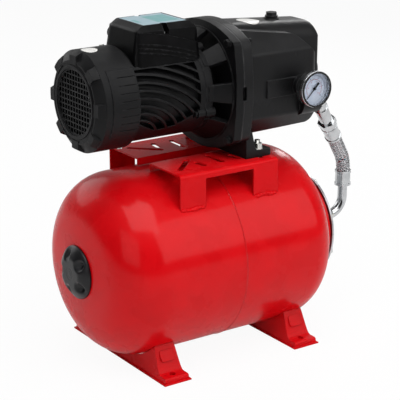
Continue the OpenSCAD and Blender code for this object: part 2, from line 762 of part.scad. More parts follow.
// wall of the cone, thinner by sink on both faces
module cone2d(sink) {
  polygon([[fin_r - 7 + sink, hub_back - 12 + sink], [fin_r + 1 - sink, hub_back - 12 + sink],
    [fin_r + 1 - sink, hub_back], [lantern_r + 2 - sink, lantern_x0 + 2 + sink],
    [lantern_r - 6 + sink, lantern_x0 + 2 + sink], [fin_r - 7 + sink, hub_back]]);
}
module lantern() {
  color(black) difference() {
    union() {
      difference() {
        yz(lantern_x0, gasket_x0) flange2d();
        xcyl(lantern_x0 - cut, gasket_x0 - 6, lantern_r, 0, shaft_z);
        for (s = [-1, 1]) box(gasket_x0 - 2.5, gasket_x0 + cut,
          s > 0 ? flange_hw - 6 : -flange_hw - cut, s > 0 ? flange_hw + cut : -flange_hw + 6,
          shaft_z - 11, shaft_z + 9);
      }
      // raised rim round the opening
      xtube(lantern_x0 - 1.2, lantern_x0 + 1, lantern_r + 2.2, lantern_r + 0.4, shaft_z);
      // spoked cone between the motor hub and the flange
      intersection() {
        xturn(shaft_z) cone2d(0);
        spokes();
      }
      // closed drip shell underneath
      translate([0, 0, shaft_z]) rotate([0, 90, 0]) rotate([0, 0, -40])
        rotate_extrude(angle = 80, $fn = 96) cone2d(0.5);
      // hub ring, bearing disc and seal hub
      xtube(frame_x1, hub_back, fin_r, frame_bore, shaft_z);
      xcyl(frame_x1 + 2, hub_back, frame_bore + 3, 0, shaft_z);
      xcyl(frame_x1 - 2, hub_back + 4, bearing_r + 5, 0, shaft_z);
      xcyl(lantern_x0 + 2, gasket_x0, 26, 0, shaft_z);
      for (a = tie_angles) about(a)
        xcyl(frame_x1 + seam_gap, hub_back + 4, tie_lug_r, 0, tie_r);
    }
    xcyl(frame_x1 - 3, frame_x1 - 2 + bearing_w + 1, bearing_r, 0, shaft_z);
    xcyl(frame_x1, gasket_x0 + cut, shaft_r + 3, 0, shaft_z);
    xcyl(gasket_x0 - 8, gasket_x0 + cut, 16, 0, shaft_z);
    for (a = tie_angles) about(a)
      xcyl(frame_x1 - cut, hub_back + 5, 2.6, 0, tie_r);
    casing_bolt_places() rotate([0, 90, 0]) cylinder(r = 3.2, h = 100, center = true);
  }
}

// wet end inside the casing
module seal_seat() {
  color(white) xtube(gasket_x0 - 8, gasket_x0, 16, shaft_r + 2, shaft_z);
}
module seal_head() {
  color(steel) {
    xtube(gasket_x0 + move_gap, gasket_x0 + 4, 13, shaft_r, shaft_z);
    xtube(gasket_x0 + 4, gasket_x0 + 14, 11, shaft_r, shaft_z);
    xtube(gasket_x0 + 14, gasket_x0 + 17, 13, shaft_r, shaft_z);
  }
}
module impeller() {
  color(brass) difference() {
    union() {
      xcyl(imp_x0, imp_x0 + 3, impeller_r, 0, shaft_z);
      xcyl(imp_x0, imp_x0 + 16, 13, 0, shaft_z);
      xtube(imp_x0 + 9, imp_x0 + 11.5, impeller_r, 22, shaft_z);
      for (i = [0 : 5]) translate([0, 0, shaft_z]) rotate([i * 60, 0, 0]) intersection() {
        xcyl(imp_x0 + 2, imp_x0 + 10, impeller_r - 0.6);
        difference() {
          xcyl(imp_x0 + 2, imp_x0 + 10, 33, 30, 20);
          xcyl(imp_x0 + 1, imp_x0 + 11, 30, 30, 20);
          xcyl(imp_x0 + 1, imp_x0 + 11, 12);
          box(imp_x0, imp_x0 + 12, -80, 80, 12, 80);
        }
      }
    }
    xcyl(imp_x0 - cut, imp_x0 + 17, shaft_r, 0, shaft_z);
  }
}
module impeller_nut() {
  color(steel) difference() {
    translate([imp_x0 + 16, 0, shaft_z]) rotate([0, 90, 0]) hexbar(19, 8);
    xcyl(imp_x0 + 15, imp_x0 + 25, shaft_r - 1.5, 0, shaft_z);
  }
}
module diffuser() {
  x = imp_x0 + 13;
  color(black) difference() {
    xcyl(x, chamber_x, chamber_r, 0, shaft_z);
    xcyl(x - cut, x + 10, 21, 0, shaft_z);
    xcyl(x - cut, chamber_x + cut, neck_r - 12, 0, shaft_z);
    for (i = [0 : 8]) translate([0, 0, shaft_z]) rotate([i * 40, 0, 0])
      translate([0, 0, 42]) rotate([0, 90, 0]) translate([0, 0, x - cut])
        linear_extrude(chamber_x - x + 3) rrect(22, 14, 5);
  }
}
module ejector() {
  x1 = hump_x - 12;
  color(brass) difference() {
    union() {
      xcyl(chamber_x, chamber_x + 4, neck_r, 0, shaft_z);
      xcyl(chamber_x - 6, x1 - 24, neck_r - 12, 0, shaft_z);
    }
    translate([chamber_x - 6 - cut, 0, shaft_z]) rotate([0, 90, 0])
      cylinder(r1 = 15, r2 = 7, h = x1 - 24 - chamber_x + 6 + 2 * cut);
  }
}
module priming_plug() {
  color(black) translate([gauge_x, 0, plug_z]) {
    translate([0, 0, -16]) cylinder(r = plug_r, h = 18);
    translate([0, 0, 1.6]) cylinder(r = plug_r + 2.5, h = 2);
    translate([0, 0, 3]) hexbar(2 * plug_r + 1, 5.5);
  }
}
module plug_oring() {
  color(rubber) translate([gauge_x, 0, plug_z + 0.8]) rotate_extrude()
    translate([plug_r + 1, 0]) circle(0.8, $fn = 20);
}
module drain_plug() {
  color(black) translate([hump_x + 3, 0, shaft_z - 44]) rotate([0, 90, 0]) {
    translate([0, 0, -10]) cylinder(r = 5, h = 11);
    difference() {
      cylinder(r = 8, h = 5);
      translate([0, 0, 2]) hexbar(6, 5);
    }
  }
}
module foot_bolts() {
  color(zinc) for (s = [-1, 1]) translate([foot_bolt_x, s * foot_bolt_y, 0]) {
    translate([0, 0, plate_z - rail_t - 7]) cylinder(r = 4, h = foot_top + 13 - plate_z + rail_t + 7);
    translate([0, 0, foot_top]) cylinder(r = 8.5, h = 1.6);
    translate([0, 0, foot_top + 1.6]) hexbar(13, 6.5);
    translate([0, 0, plate_z - rail_t - 1.6]) cylinder(r = 9, h = 1.6);
    translate([0, 0, plate_z - rail_t - 7]) hexbar(13, 5.5);
  }
}

// motor
// bowed fin strip seen from the side, number k counted from the first long fin
module fin2d(k) {
  r = fin_bow - fin_bow_step * k;
  zc = shaft_z + 40 - fin_pitch * k - r;
  intersection() {
    translate([cover_back, zc]) difference() {
      circle(r + fin_t / 2, $fn = 120);
      circle(r - fin_t / 2, $fn = 120);
    }
    translate([cover_back, zc]) square([260, 260]);
  }
}
module fin_window2d() {
  polygon([[cover_back + 0.5, shaft_z + 45], [frame_x1 - 9, shaft_z + 45],
    [frame_x1 - 9, shaft_z - 22], [frame_x0 + 66, shaft_z - 40],
    [frame_x0 + 36, shaft_z - 43], [cover_back + 0.5, shaft_z - 26]]);
}
module motor_frame() {
  color(black) difference() {
    union() {
      xcyl(frame_x0, frame_x1, drum_r, 0, shaft_z);
      difference() {
        xtube(frame_x0, frame_x1, fin_r, drum_r - 1, shaft_z);
        xz(-100, 100) fin_window2d();
      }
      intersection() {
        xtube(frame_x0, frame_x1, fin_r, drum_r - 1, shaft_z);
        xz(-100, 100) intersection() {
          fin_window2d();
          for (k = [-2 : 6]) fin2d(k);
        }
      }
      for (a = tie_angles) about(a)
        xcyl(frame_x1 - lug_l, frame_x1 - seam_gap, tie_lug_r - 1, 0, tie_r);
    }
    xcyl(frame_x0 - cut, frame_x1 + cut, frame_bore, 0, shaft_z);
    for (a = tie_angles) about(a)
      xcyl(frame_x1 - lug_l - cut, frame_x1 + cut, 2.6, 0, tie_r);
    for (a = rear_angles) about(a)
      xcyl(frame_x0 - cut, frame_x0 + 14, 2.6, 0, rear_screw_r);
    // room for the heads of the front screws
    for (a = tie_angles) about(a)
      xcyl(frame_x1 - lug_l - screw_head - 2, frame_x1 - lug_l, 5.2, 0, tie_r);
    box(box_x0 + 33, box_x1 - 34, -14, 14, shaft_z + 40, shaft_z + 90);
  }
}
module stator_core() {
  color(steel) difference() {
    xtube(core_x0, core_x1, frame_bore, core_r, shaft_z);
    for (i = [0 : 23]) translate([0, 0, shaft_z]) rotate([i * 15, 0, 0])
      box(core_x0 - cut, core_x1 + cut, -2, 2, core_r - cut, frame_bore - 8);
  }
}
module windings() {
  color(copper) for (x = [core_x0 - 6, core_x1 + 6]) xturn(shaft_z)
    translate([frame_bore - 9, x]) rrect(13, 12, 4);
}
module rotor() {
  color(steel) difference() {
    union() {
      xcyl(core_x0 + 2, core_x1 - 2, core_r - air_gap, 0, shaft_z);
      xcyl(core_x0 - 4, core_x1 + 4, core_r - 2, 0, shaft_z);
    }
    xcyl(core_x0 - 5, core_x0 + 1, core_r - 14, 0, shaft_z);
    xcyl(core_x1 - 1, core_x1 + 5, core_r - 14, 0, shaft_z);
    xcyl(core_x0 - 8, core_x1 + 8, shaft_r + 2, 0, shaft_z);
  }
}
module shaft() {
  color(steel) {
    xcyl(motor_x0 - 32, imp_x0 + 16, shaft_r, 0, shaft_z);
    xcyl(imp_x0 + 15, imp_x0 + 27, shaft_r - 1.5, 0, shaft_z);
    xcyl(core_x0 - 10, core_x1 + 10, shaft_r + 2, 0, shaft_z);
  }
}
module bearing(x) {
  color(steel) xturn(shaft_z) translate([0, x]) difference() {
    translate([shaft_r + run_gap, 0]) square([bearing_r - shaft_r - run_gap, bearing_w]);
    for (y = [0, bearing_w]) translate([(bearing_r + shaft_r) / 2, y])
      square([4, 1.6], center = true);
  }
}
module bearing_front() { bearing(frame_x1 - 2); }
module bearing_rear() { bearing(rear_bearing_x); }
module rear_shield() {
  color(black) difference() {
    union() {
      xcyl(motor_x0, frame_x0, fin_r, 0, shaft_z);
      xcyl(frame_x0 - cut, frame_x0 + 3, frame_bore, 0, shaft_z);
      xcyl(rear_bearing_x - 3, frame_x0 + 3, bearing_r + 5, 0, shaft_z);
    }
    xcyl(rear_bearing_x, frame_x0 + 4, bearing_r, 0, shaft_z);
    xcyl(rear_bearing_x - 4, frame_x0, shaft_r + 2, 0, shaft_z);
    xtube(frame_x0 - 2, frame_x0 + 4, frame_bore - 3, bearing_r + 5, shaft_z);
    for (a = screw_angles) about(a)
      translate([screw_at, 0, fin_r - 6]) cylinder(r = 1.7, h = 20);
    for (a = rear_angles) about(a)
      xcyl(motor_x0 - cut, frame_x0 + cut, 2.6, 0, rear_screw_r);
  }
}
module frame_screw(x0, x1, r) {
  xcyl(x0 - screw_head / 2, x1, 2.5, 0, r);
  translate([x0 - screw_head, 0, r]) rotate([0, 90, 0]) hexbar(8, screw_head);
}
module frame_screws() {
  color(black) {
    for (a = tie_angles) about(a) frame_screw(frame_x1 - lug_l, hub_back + 3, tie_r);
    for (a = rear_angles) about(a) frame_screw(motor_x0, frame_x0 + 12, rear_screw_r);
  }
}
module fan() {
  x0 = motor_x0 - 28;
  color(black) difference() {
    union() {
      xcyl(x0, x0 + 24, 14, 0, shaft_z);
      xcyl(x0 + 16, x0 + 18.5, fan_r - 4, 0, shaft_z);
      for (i = [0 : fan_blades - 1]) translate([0, 0, shaft_z])
        rotate([i * 360 / fan_blades, 0, 0])
          translate([0, -1.3, 12]) xz(0, 2.6)
            polygon([[x0 + 2, 0], [x0 - 4, fan_r - 16], [x0 - 4, fan_r - 12],
              [x0 + 18, fan_r - 12], [x0 + 18, 0]]);
    }
    xcyl(x0 - cut, x0 + 25, shaft_r, 0, shaft_z);
  }
}
module cover_profile2d() {
  polygon([[cover_face_r - 2, cover_x0], [cover_face_r, cover_x0],
    [cover_r, cover_full_x], [cover_r, cover_back], [cover_r - cover_t, cover_back],
    [cover_r - cover_t, cover_full_x + 1], [cover_face_r - 2, cover_x0 + 3],
    [grille_r, cover_x0 + 3], [grille_r, cover_x0 + 1], [grille_r + 2, cover_x0 + 1],
    [grille_r + 2.5, cover_x0 - 1], [grille_r + 6, cover_x0 - 1],
    [grille_r + 6.5, cover_x0 + 1], [cover_face_r - 3, cover_x0 + 1]]);
}
module fan_cover() {
  color(black) difference() {
    union() {
      xturn(shaft_z) cover_profile2d();
      // mesh
      intersection() {
        xcyl(cover_x0 + 2, cover_x0 + 4.4, grille_r + 1, 0, shaft_z);
        union() {
          for (i = [-6 : 6]) {
            box(cover_x0, cover_x0 + 6, i * mesh_pitch - mesh_bar / 2,
              i * mesh_pitch + mesh_bar / 2, shaft_z - 60, shaft_z + 60);
            box(cover_x0, cover_x0 + 6, -60, 60, shaft_z + i * mesh_pitch - mesh_bar / 2,
              shaft_z + i * mesh_pitch + mesh_bar / 2);
          }
        }
      }
      // lugs round the chamfer
      intersection() {
        xturn(shaft_z) polygon([[cover_face_r - 4, cover_x0 - 0.5],
          [cover_face_r + 8, cover_x0 - 0.5], [cover_r - 1, cover_full_x - 2],
          [cover_r - 1, cover_full_x + 3], [cover_face_r - 4, cover_full_x + 3]]);
        for (i = [0 : 7]) about(i * 45) translate([0, 0, 40]) linear_extrude(40)
          polygon([[cover_x0 - 1, -8.5], [cover_x0 - 1, 8.5], [cover_full_x + 4, 11],
            [cover_full_x + 4, -11]]);
      }
      // raised panel with ribs on both sides
      for (s = [-1, 1]) intersection() {
        xtube(panel_x0, cover_back - 1, cover_r + 1, cover_r - 1, shaft_z);
        xz(s > 0 ? 20 : -90, s > 0 ? 90 : -20) difference() {
          translate([panel_x0 - cut, shaft_z - 42]) square([60, 93]);
          for (q = [-32 : 10.4 : 45]) translate([panel_x0 + 13, shaft_z + q]) square([60, 0.8]);
        }
      }
      // inner lugs for the cover screws
      for (a = screw_angles) about(a)
        translate([screw_at, 0, fin_r]) cylinder(r = 3.4, h = cover_r - fin_r - 1);
    }
    for (a = screw_angles) about(a) translate([screw_at, 0, 0]) {
      translate([0, 0, fin_r - 4]) cylinder(r = 1.8, h = 30);
      translate([0, 0, cover_r - head_sink]) cylinder(r = 4, h = 20);
    }
  }
}
module cover_screws() {
  color(zinc) for (a = screw_angles) about(a)
    translate([screw_at, 0, 0]) {
      translate([0, 0, fin_r - 6]) cylinder(r = 1.7, h = cover_r - fin_r + 6);
      difference() {
        translate([0, 0, cover_r - head_sink]) cylinder(r = 3.6, h = 2);
        translate([-4, -0.5, cover_r - head_sink + 1.2]) cube([8, 1, 2]);
      }
    }
}

// terminal box
function part_line(drop, xa, xb) = [for (i = [0 : part_n]) let (x = xa + (xb - xa) * i / part_n)
  [x, part_at(x) - drop]];
function flipped(p) = [for (i = [len(p) - 1 : -1 : 0]) p[i]];
module base_side2d() {
  polygon(concat([[box_x0 - box_lean, base_z]], part_line(0, box_x0, box_x1), [[box_x1, base_z]]));
}
// drafted cross section of the box, grown by more on each side
module box_end2d(more) {
  polygon([[-box_hw - box_draft - more, base_z], [box_hw + box_draft + more, base_z],
    [box_hw + more - 0.7, box_top], [0.7 - box_hw - more, box_top]]);
}
module terminal_base() {
  color(black) difference() {
    union() {
      intersection() {
        xz(-2 * box_hw, 2 * box_hw) base_side2d();
        yz(box_x0 - 2 * box_lean, box_x1 + cut) box_end2d(0);
      }
      // three low ribs follow the parting line on each side
      intersection() {
        yz(box_x0 - 2 * box_lean, box_x1 + cut) box_end2d(0.8);
        xz(-2 * box_hw, 2 * box_hw) intersection() {
          base_side2d();
          for (d = [15, 21, 27]) polygon(concat(part_line(d, box_x0 + 2, box_x1 - 3),
            flipped(part_line(d + 1.5, box_x0 + 2, box_x1 - 3))));
        }
      }
      ycyl(box_hw - 3, gland_seat, 12.8, gland_x, gland_z);
    }
    xcyl(box_x0 - 2 * box_lean, box_x1 + cut, fin_r, 0, shaft_z);
    xcyl(frame_x1 - cut, box_x1 + cut, fin_r + 1.5, 0, shaft_z);
    about(tie_angles[1]) xcyl(frame_x1 - lug_l - screw_head - cut, box_x1 + cut,
      tie_lug_r + move_gap, 0, tie_r);
    translate([0, 0, floor_z]) linear_extrude(120) translate([(box_x0 + box_x1) / 2, 0])
      rrect(box_x1 - box_x0 - 2 * box_t, 2 * box_hw - 2 * box_t, 3);
    translate([(box_x0 + box_x1) / 2, 0, floor_z - 30]) cylinder(r = 10, h = 40);
    ycyl(box_hw - 10, gland_seat + cut, 7, gland_x, gland_z);
  }
  color(black) for (s = [-1, 1]) difference() {
    translate([screw_x, s * screw_y, floor_z - cut]) cylinder(r = 4, h = pocket_z - 4.1 - floor_z + cut);
    translate([screw_x, s * screw_y, floor_z + 2]) cylinder(r = 1.6, h = 40);
  }
}
module cover_form(inset) {
  t = box_top - inset;
  xa = box_x0 + inset;
  xb = box_x1 - inset;
  drop = inset > 0 ? cut : 0;
  intersection() {
    xz(-2 * box_hw, 2 * box_hw) polygon(concat(part_line(drop, xa, xb),
      [[xb - 1, part_at(xb) + 12], [xb - 5, t - 8], [xb - 12, t], [xa + 14, t],
        [xa + 3, t - 5]]));
    yz(box_x0 - cut, box_x1 + cut) polygon([[-box_hw + inset, base_z], [box_hw - inset, base_z],
      [box_hw - inset, t - 8], [box_hw - 8 - inset, t + 0.01], [-box_hw + 8 + inset, t + 0.01],
      [-box_hw + inset, t - 8]]);
  }
}
module terminal_cover() {
  color(black) difference() {
    union() {
      difference() {
        cover_form(0);
        difference() {
          cover_form(box_t);
          for (s = [-1, 1]) translate([screw_x, s * screw_y, base_z]) cylinder(r = 7, h = 100);
        }
      }
      for (s = [-1, 1]) translate([screw_x, s * screw_y, pocket_z - 4]) cylinder(r = 5.5, h = 6);
    }
    for (s = [-1, 1]) {
      translate([screw_x, s * screw_y, base_z]) cylinder(r = 1.9, h = 100);
      translate([screw_x, s * screw_y, pocket_z]) cylinder(r = 4.2, h = 60);
      box(screw_x - 4.1, screw_x + 4.1, s > 0 ? screw_y : -box_hw - 3,
        s > 0 ? box_hw + 3 : -screw_y, pocket_z, box_top + 5);
    }
    box(label_x0 - 0.3, label_x1 + 0.3, -label_hw - 0.3, label_hw + 0.3, box_top - 0.5, box_top + 5);
  }
}
module label_plate() {
  color(white) difference() {
    box(label_x0, label_x1, -label_hw, label_hw, box_top - 0.5, box_top);
    for (s = [-1, 1]) translate([screw_x, s * screw_y, 0]) cylinder(r = 5, h = 2 * box_top);
  }
}
module terminal_screws() {
  color(zinc) for (s = [-1, 1]) translate([screw_x, s * screw_y, pocket_z]) {
    translate([0, 0, floor_z + 4 - pocket_z]) cylinder(r = 1.5, h = pocket_z - floor_z - 3);
    difference() {
      cylinder(r = 3.4, h = 2.4);
      for (a = [0, 90]) rotate(a) translate([-2.2, -0.5, 1.4]) cube([4.4, 1, 2]);
    }
  }
}
module terminal_block() {
  color(white) difference() {
    box(box_x0 + 17, box_x0 + 37, -24, 24, floor_z, floor_z + 9);
    for (x = [box_x0 + 23, box_x0 + 31], y = [-18 : 9 : 18])
      translate([x, y, floor_z + 3]) cylinder(r = 2.4, h = 10);
  }
}
module capacitor() {
  color(steel) {
    xcyl(box_x1 - 45, box_x1 - 9, 9, 12, floor_z + 9);
    box(box_x1 - 41, box_x1 - 13, 4, 20, floor_z, floor_z + 2);
  }
}
module cable_gland() {
  color(black) difference() {
    union() {
      ycyl(gland_seat - 8, gland_seat, 6.9, gland_x, gland_z);
      translate([gland_x, gland_seat, gland_z]) rotate([-90, 0, 0]) hexbar(22, 6);
      ycyl(gland_seat + 6, gland_seat + 20, 9.5, gland_x, gland_z);
    }
    ycyl(gland_seat - 9, gland_seat + 21, 4.2, gland_x, gland_z);
  }
}

// gauge
module gauge_case() {
  color(steel) difference() {
    union() {
      ycyl(face_y + 3, gauge_back, gauge_r, gauge_x, gauge_z);
      ycyl(gauge_back, gauge_back + 3, 12, gauge_x, gauge_z);
      translate([gauge_x, gauge_back + 2.9, gauge_z]) rotate([-90, 0, 0])
        hexbar(14, boss_y - gauge_back - 2.9);
      ycyl(boss_y - 0.5, boss_y + 14, 6, gauge_x, gauge_z);
    }
    ycyl(face_y + 2, gauge_back - 2, gauge_r - 1.4, gauge_x, gauge_z);
    ycyl(gauge_back - 3, boss_y + 15, 1.5, gauge_x, gauge_z);
  }
  // movement plate with the pointer bearing
  color(brass) difference() {
    ycyl(face_y + 9, gauge_back - 1.9, 8, gauge_x, gauge_z);
    ycyl(face_y + 8, gauge_back + 2, 1.5 + run_gap, gauge_x, gauge_z);
  }
}
module gauge_dial() {
  color(white) difference() {
    ycyl(face_y + 8, face_y + 9, gauge_r - 1.4, gauge_x, gauge_z);
    ycyl(face_y + 7, face_y + 10, 2.2, gauge_x, gauge_z);
  }
}
module gauge_bezel() {
  color(steel) difference() {
    union() {
      ycyl(face_y, face_y + 2, gauge_r + 1, gauge_x, gauge_z);
      ycyl(face_y + 2, face_y + 7, gauge_r + 1.4, gauge_x, gauge_z);
    }
    ycyl(face_y - cut, face_y + 2 + cut, gauge_r - 1.6, gauge_x, gauge_z);
    ycyl(face_y + 1.4, face_y + 8, gauge_r, gauge_x, gauge_z);
  }
}
module gauge_lens() {
  color(glass) ycyl(face_y + 1.4, face_y + 3, gauge_r, gauge_x, gauge_z);
}
module gauge_pointer() {
  color(black) translate([gauge_x, 0, gauge_z]) {
    ycyl(face_y + 5.2, gauge_back - 4, 1.5);
    ycyl(face_y + 5.2, face_y + 7.2, 2.2);
    rotate([0, pointer_rest, 0]) xz(face_y + 5.8, face_y + 6.6)
      polygon([[-11, -1.6], [-11, 1.6], [0, 0.9], [gauge_r - 5, 0.25], [gauge_r - 5, -0.25], [0, -0.9]]);
  }
}

// hose line
module hose_axis() {
  translate(elbow_p) rotate([0, 0, hose_turn]) rotate([0, 180 - hose_tilt, 0]) children();
}
module outlet_elbow() {
  color(steel) difference() {
    union() {
      xcyl(body_x + 1 - port_l, elbow_p[0], port_r - 2, elbow_p[1], elbow_p[2]);
      translate([body_x + 1, elbow_p[1], elbow_p[2]]) rotate([0, 90, 0]) hexbar(30, 5);
      translate(elbow_p) sphere(13.2);
      hose_axis() cylinder(r = 10, h = swivel_l + swivel_in);
      hose_axis() translate([0, 0, 24]) cylinder(r = 11.2, h = 3);
    }
    xcyl(body_x - port_l, elbow_p[0], 7.5, elbow_p[1], elbow_p[2]);
    hose_axis() cylinder(r = 6, h = swivel_l + 9);
  }
}
module hose_nut() {
  color(steel) hose_axis() translate([0, 0, swivel_l]) difference() {
    union() {
      hexbar(25, nut_l - 5);
      translate([0, 0, nut_l - 5.1]) cylinder(r = 12.5, h = 5);
    }
    translate([0, 0, -cut]) cylinder(r = 10 + run_gap, h = nut_l + 3);
  }
}
// crimped sleeve round a hose end, its collar at the start
module ferrule(collar, l) {
  difference() {
    union() {
      cylinder(r = hose_r + 1, h = l);
      cylinder(r = hose_r + 2, h = collar);
      translate([0, 0, l - 3.5]) cylinder(r = hose_r + 1.9, h = 3.5);
    }
    translate([0, 0, -cut]) cylinder(r = hose_r, h = l + 3);
  }
}
module hose_ferrules() {
  color(steel) {
    hose_axis() translate([0, 0, upper_ferrule]) ferrule(3, upper_ferrule_l);
    // nipple from the end of the elbow into the hose, its shoulder inside the nut
    hose_axis() translate([0, 0, swivel_l + swivel_in]) difference() {
      union() {
        cylinder(r = 10 - move_gap, h = nut_l - swivel_in);
        cylinder(r = tube_r, h = nut_l - swivel_in + upper_ferrule_l);
      }
      translate([0, 0, -cut]) cylinder(r = 6, h = nut_l + upper_ferrule_l + 2);
    }
    translate([hose_x, 0, ferrule_z]) ferrule(3.5, ferrule_l);
  }
}
// round bar along the hose route, longer by past at both ends; the straight
// lengths run a little way into the bend, which is thicker by the step
module hose_bar(r, past) {
  lap = 1.5;
  step = 0.03;
  hose_axis() translate([0, 0, upper_ferrule - past])
    cylinder(r = r, h = hose_str - upper_ferrule + past + lap);
  translate([hose_x, 0, hose_end_z]) rotate([0, 0, hose_turn])
    translate([-hose_bend, 0, 0]) rotate([90, 0, 0])
      rotate_extrude(angle = hose_tilt, $fn = 180) translate([hose_bend, 0]) circle(r + step);
  translate([hose_x, 0, ferrule_z - past])
    cylinder(r = r, h = hose_end_z - ferrule_z + past + lap);
}
module hose_braid() {
  color(steel) difference() {
    hose_bar(hose_r, 0);
    hose_bar(tube_r, cut);
  }
}
module tank_elbow() {
  color(steel) difference() {
    union() {
      xcyl(hub_x - 8, hose_x - elbow_bend, tube_r, 0, tank_z);
      translate([hose_x - elbow_bend, 0, tube_top]) rotate([90, 0, 0]) rotate([0, 0, -90])
        rotate_extrude(angle = 90, $fn = 96) translate([elbow_bend, 0]) circle(tube_r);
      translate([hose_x, 0, tube_top]) cylinder(r = tube_r, h = hose_end_z - tube_top - 2);
      xcyl(hub_x, hub_x + 3, 14, 0, tank_z);
      xcyl(hub_x - 8, hub_x, tank_port_r, 0, tank_z);
    }
    xcyl(hub_x - 9, hose_x - elbow_bend, tube_r - 1.5, 0, tank_z);
    translate([hose_x - elbow_bend, 0, tube_top]) rotate([90, 0, 0]) rotate([0, 0, -90])
      rotate_extrude(angle = 90, $fn = 96) translate([elbow_bend, 0]) circle(tube_r - 1.5);
    translate([hose_x, 0, tube_top]) cylinder(r = tube_r - 1.5, h = hose_end_z - tube_top);
  }
}
module elbow_nut() {
  color(steel) difference() {
    union() {
      translate([hub_x + 3 + move_gap, 0, tank_z]) rotate([0, 90, 0]) hexbar(34, 14);
      xcyl(hub_x + 3 + move_gap, hub_x + 20, 14, 0, tank_z);
    }
    xcyl(hub_x, hub_x + 22, tube_r + run_gap, 0, tank_z);
  }
}

tank_shell_left();
tank_shell_right();
seam_weld();
tank_neck();
membrane();
tank_flange();
tank_bolts();
air_valve();
valve_pin();
valve_cap();
foot_left();
foot_right();
rail_near();
rail_far();
rail_welds();
pump_body();
casing_gasket();
lantern();
casing_bolts();
seal_seat();
seal_head();
impeller();
impeller_nut();
diffuser();
ejector();
priming_plug();
plug_oring();
drain_plug();
foot_bolts();
motor_frame();
stator_core();
windings();
rotor();
shaft();
bearing_front();
bearing_rear();
rear_shield();
fan();
fan_cover();
cover_screws();
frame_screws();
terminal_base();
terminal_cover();
terminal_screws();
terminal_block();
capacitor();
cable_gland();
label_plate();
gauge_case();
gauge_bezel();
gauge_dial();
gauge_lens();
gauge_pointer();
outlet_elbow();
hose_nut();
hose_ferrules();
hose_braid();
tank_elbow();
elbow_nut();
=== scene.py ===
from math import asin, atan2, copysign, cos, hypot, pi, radians, sin, sqrt

import bmesh
import bpy
from mathutils import Matrix, Vector


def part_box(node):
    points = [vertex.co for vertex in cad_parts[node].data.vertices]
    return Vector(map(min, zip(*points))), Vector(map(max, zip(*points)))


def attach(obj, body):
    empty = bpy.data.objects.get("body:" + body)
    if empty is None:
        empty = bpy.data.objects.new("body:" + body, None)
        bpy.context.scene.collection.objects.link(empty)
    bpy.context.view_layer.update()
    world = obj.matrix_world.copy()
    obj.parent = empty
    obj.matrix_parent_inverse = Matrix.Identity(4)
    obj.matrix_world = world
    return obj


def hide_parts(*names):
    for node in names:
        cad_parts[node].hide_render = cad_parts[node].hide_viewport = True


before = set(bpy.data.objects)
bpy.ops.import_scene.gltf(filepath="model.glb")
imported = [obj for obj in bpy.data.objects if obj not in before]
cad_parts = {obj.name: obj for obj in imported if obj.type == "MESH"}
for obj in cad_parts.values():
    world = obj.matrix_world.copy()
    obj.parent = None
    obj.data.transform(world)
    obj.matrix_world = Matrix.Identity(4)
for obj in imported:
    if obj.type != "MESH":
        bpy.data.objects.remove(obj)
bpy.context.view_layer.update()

# Camera and studio: the set stands on plain white, seen through a long lens from the left
# front, a little above the pump. Wide soft boxes hang overhead and in front, a smaller one
# fills from the left, and a strip and a box behind draw the rims and light the far side.
eye = Vector((-1.141, -1.687, 0.872))
eye_azimuth = radians(-34.299)
eye_height = radians(17.831)
focal_pixels = 1446
frame_pixels = 400


def placed(name, data):
    """A new object of that data, in the scene."""
    thing = bpy.data.objects.new(name, data)
    bpy.context.scene.collection.objects.link(thing)
    return thing


away = Vector((sin(eye_azimuth) * cos(eye_height),
               -cos(eye_azimuth) * cos(eye_height), sin(eye_height)))
sideways = Vector((cos(eye_azimuth), sin(eye_azimuth), 0))
upward = away.cross(sideways)
camera = placed("camera", bpy.data.cameras.new("camera"))
turn = Matrix((sideways, upward, away)).transposed().to_4x4()
camera.matrix_world = Matrix.Translation(eye) @ turn
camera.data.sensor_fit = "HORIZONTAL"
camera.data.lens = camera.data.sensor_width * focal_pixels / frame_pixels
bpy.context.scene.camera = camera
bpy.context.scene.view_settings.view_transform = "Standard"


def add(tree, kind, wired=None, **settings):
    """A shader node of that kind, its settings set, and its sockets linked or given a value."""
    node = tree.nodes.new("ShaderNode" + kind)
    for setting, value in settings.items():
        setattr(node, setting, value)
    for socket, value in (wired or {}).items():
        if isinstance(value, bpy.types.NodeSocket):
            tree.links.new(value, node.inputs[socket])
        else:
            node.inputs[socket].default_value = value
    return node


def combined(tree, one, other, operation="MULTIPLY"):
    """Two values multiplied, or put together in another named way."""
    return add(tree, "Math", {0: one, 1: other}, operation=operation).outputs[0]


def ranged(tree, value, low, high, to_low=0.0, to_high=1.0, course="SMOOTHSTEP"):
    """A value's span from low to high, spread over another span and held inside it."""
    return add(tree, "MapRange", {"Value": value, "From Min": low, "From Max": high,
                                  "To Min": to_low, "To Max": to_high},
               interpolation_type=course).outputs[0]


def seen_directly(tree, rays):
    """1 for rays from the eye, off a mirror or through glass, and 0 for rays that light things."""
    shown = combined(tree, rays["Is Camera Ray"], rays["Is Glossy Ray"], "MAXIMUM")
    return combined(tree, shown, rays["Is Transmission Ray"], "MAXIMUM")


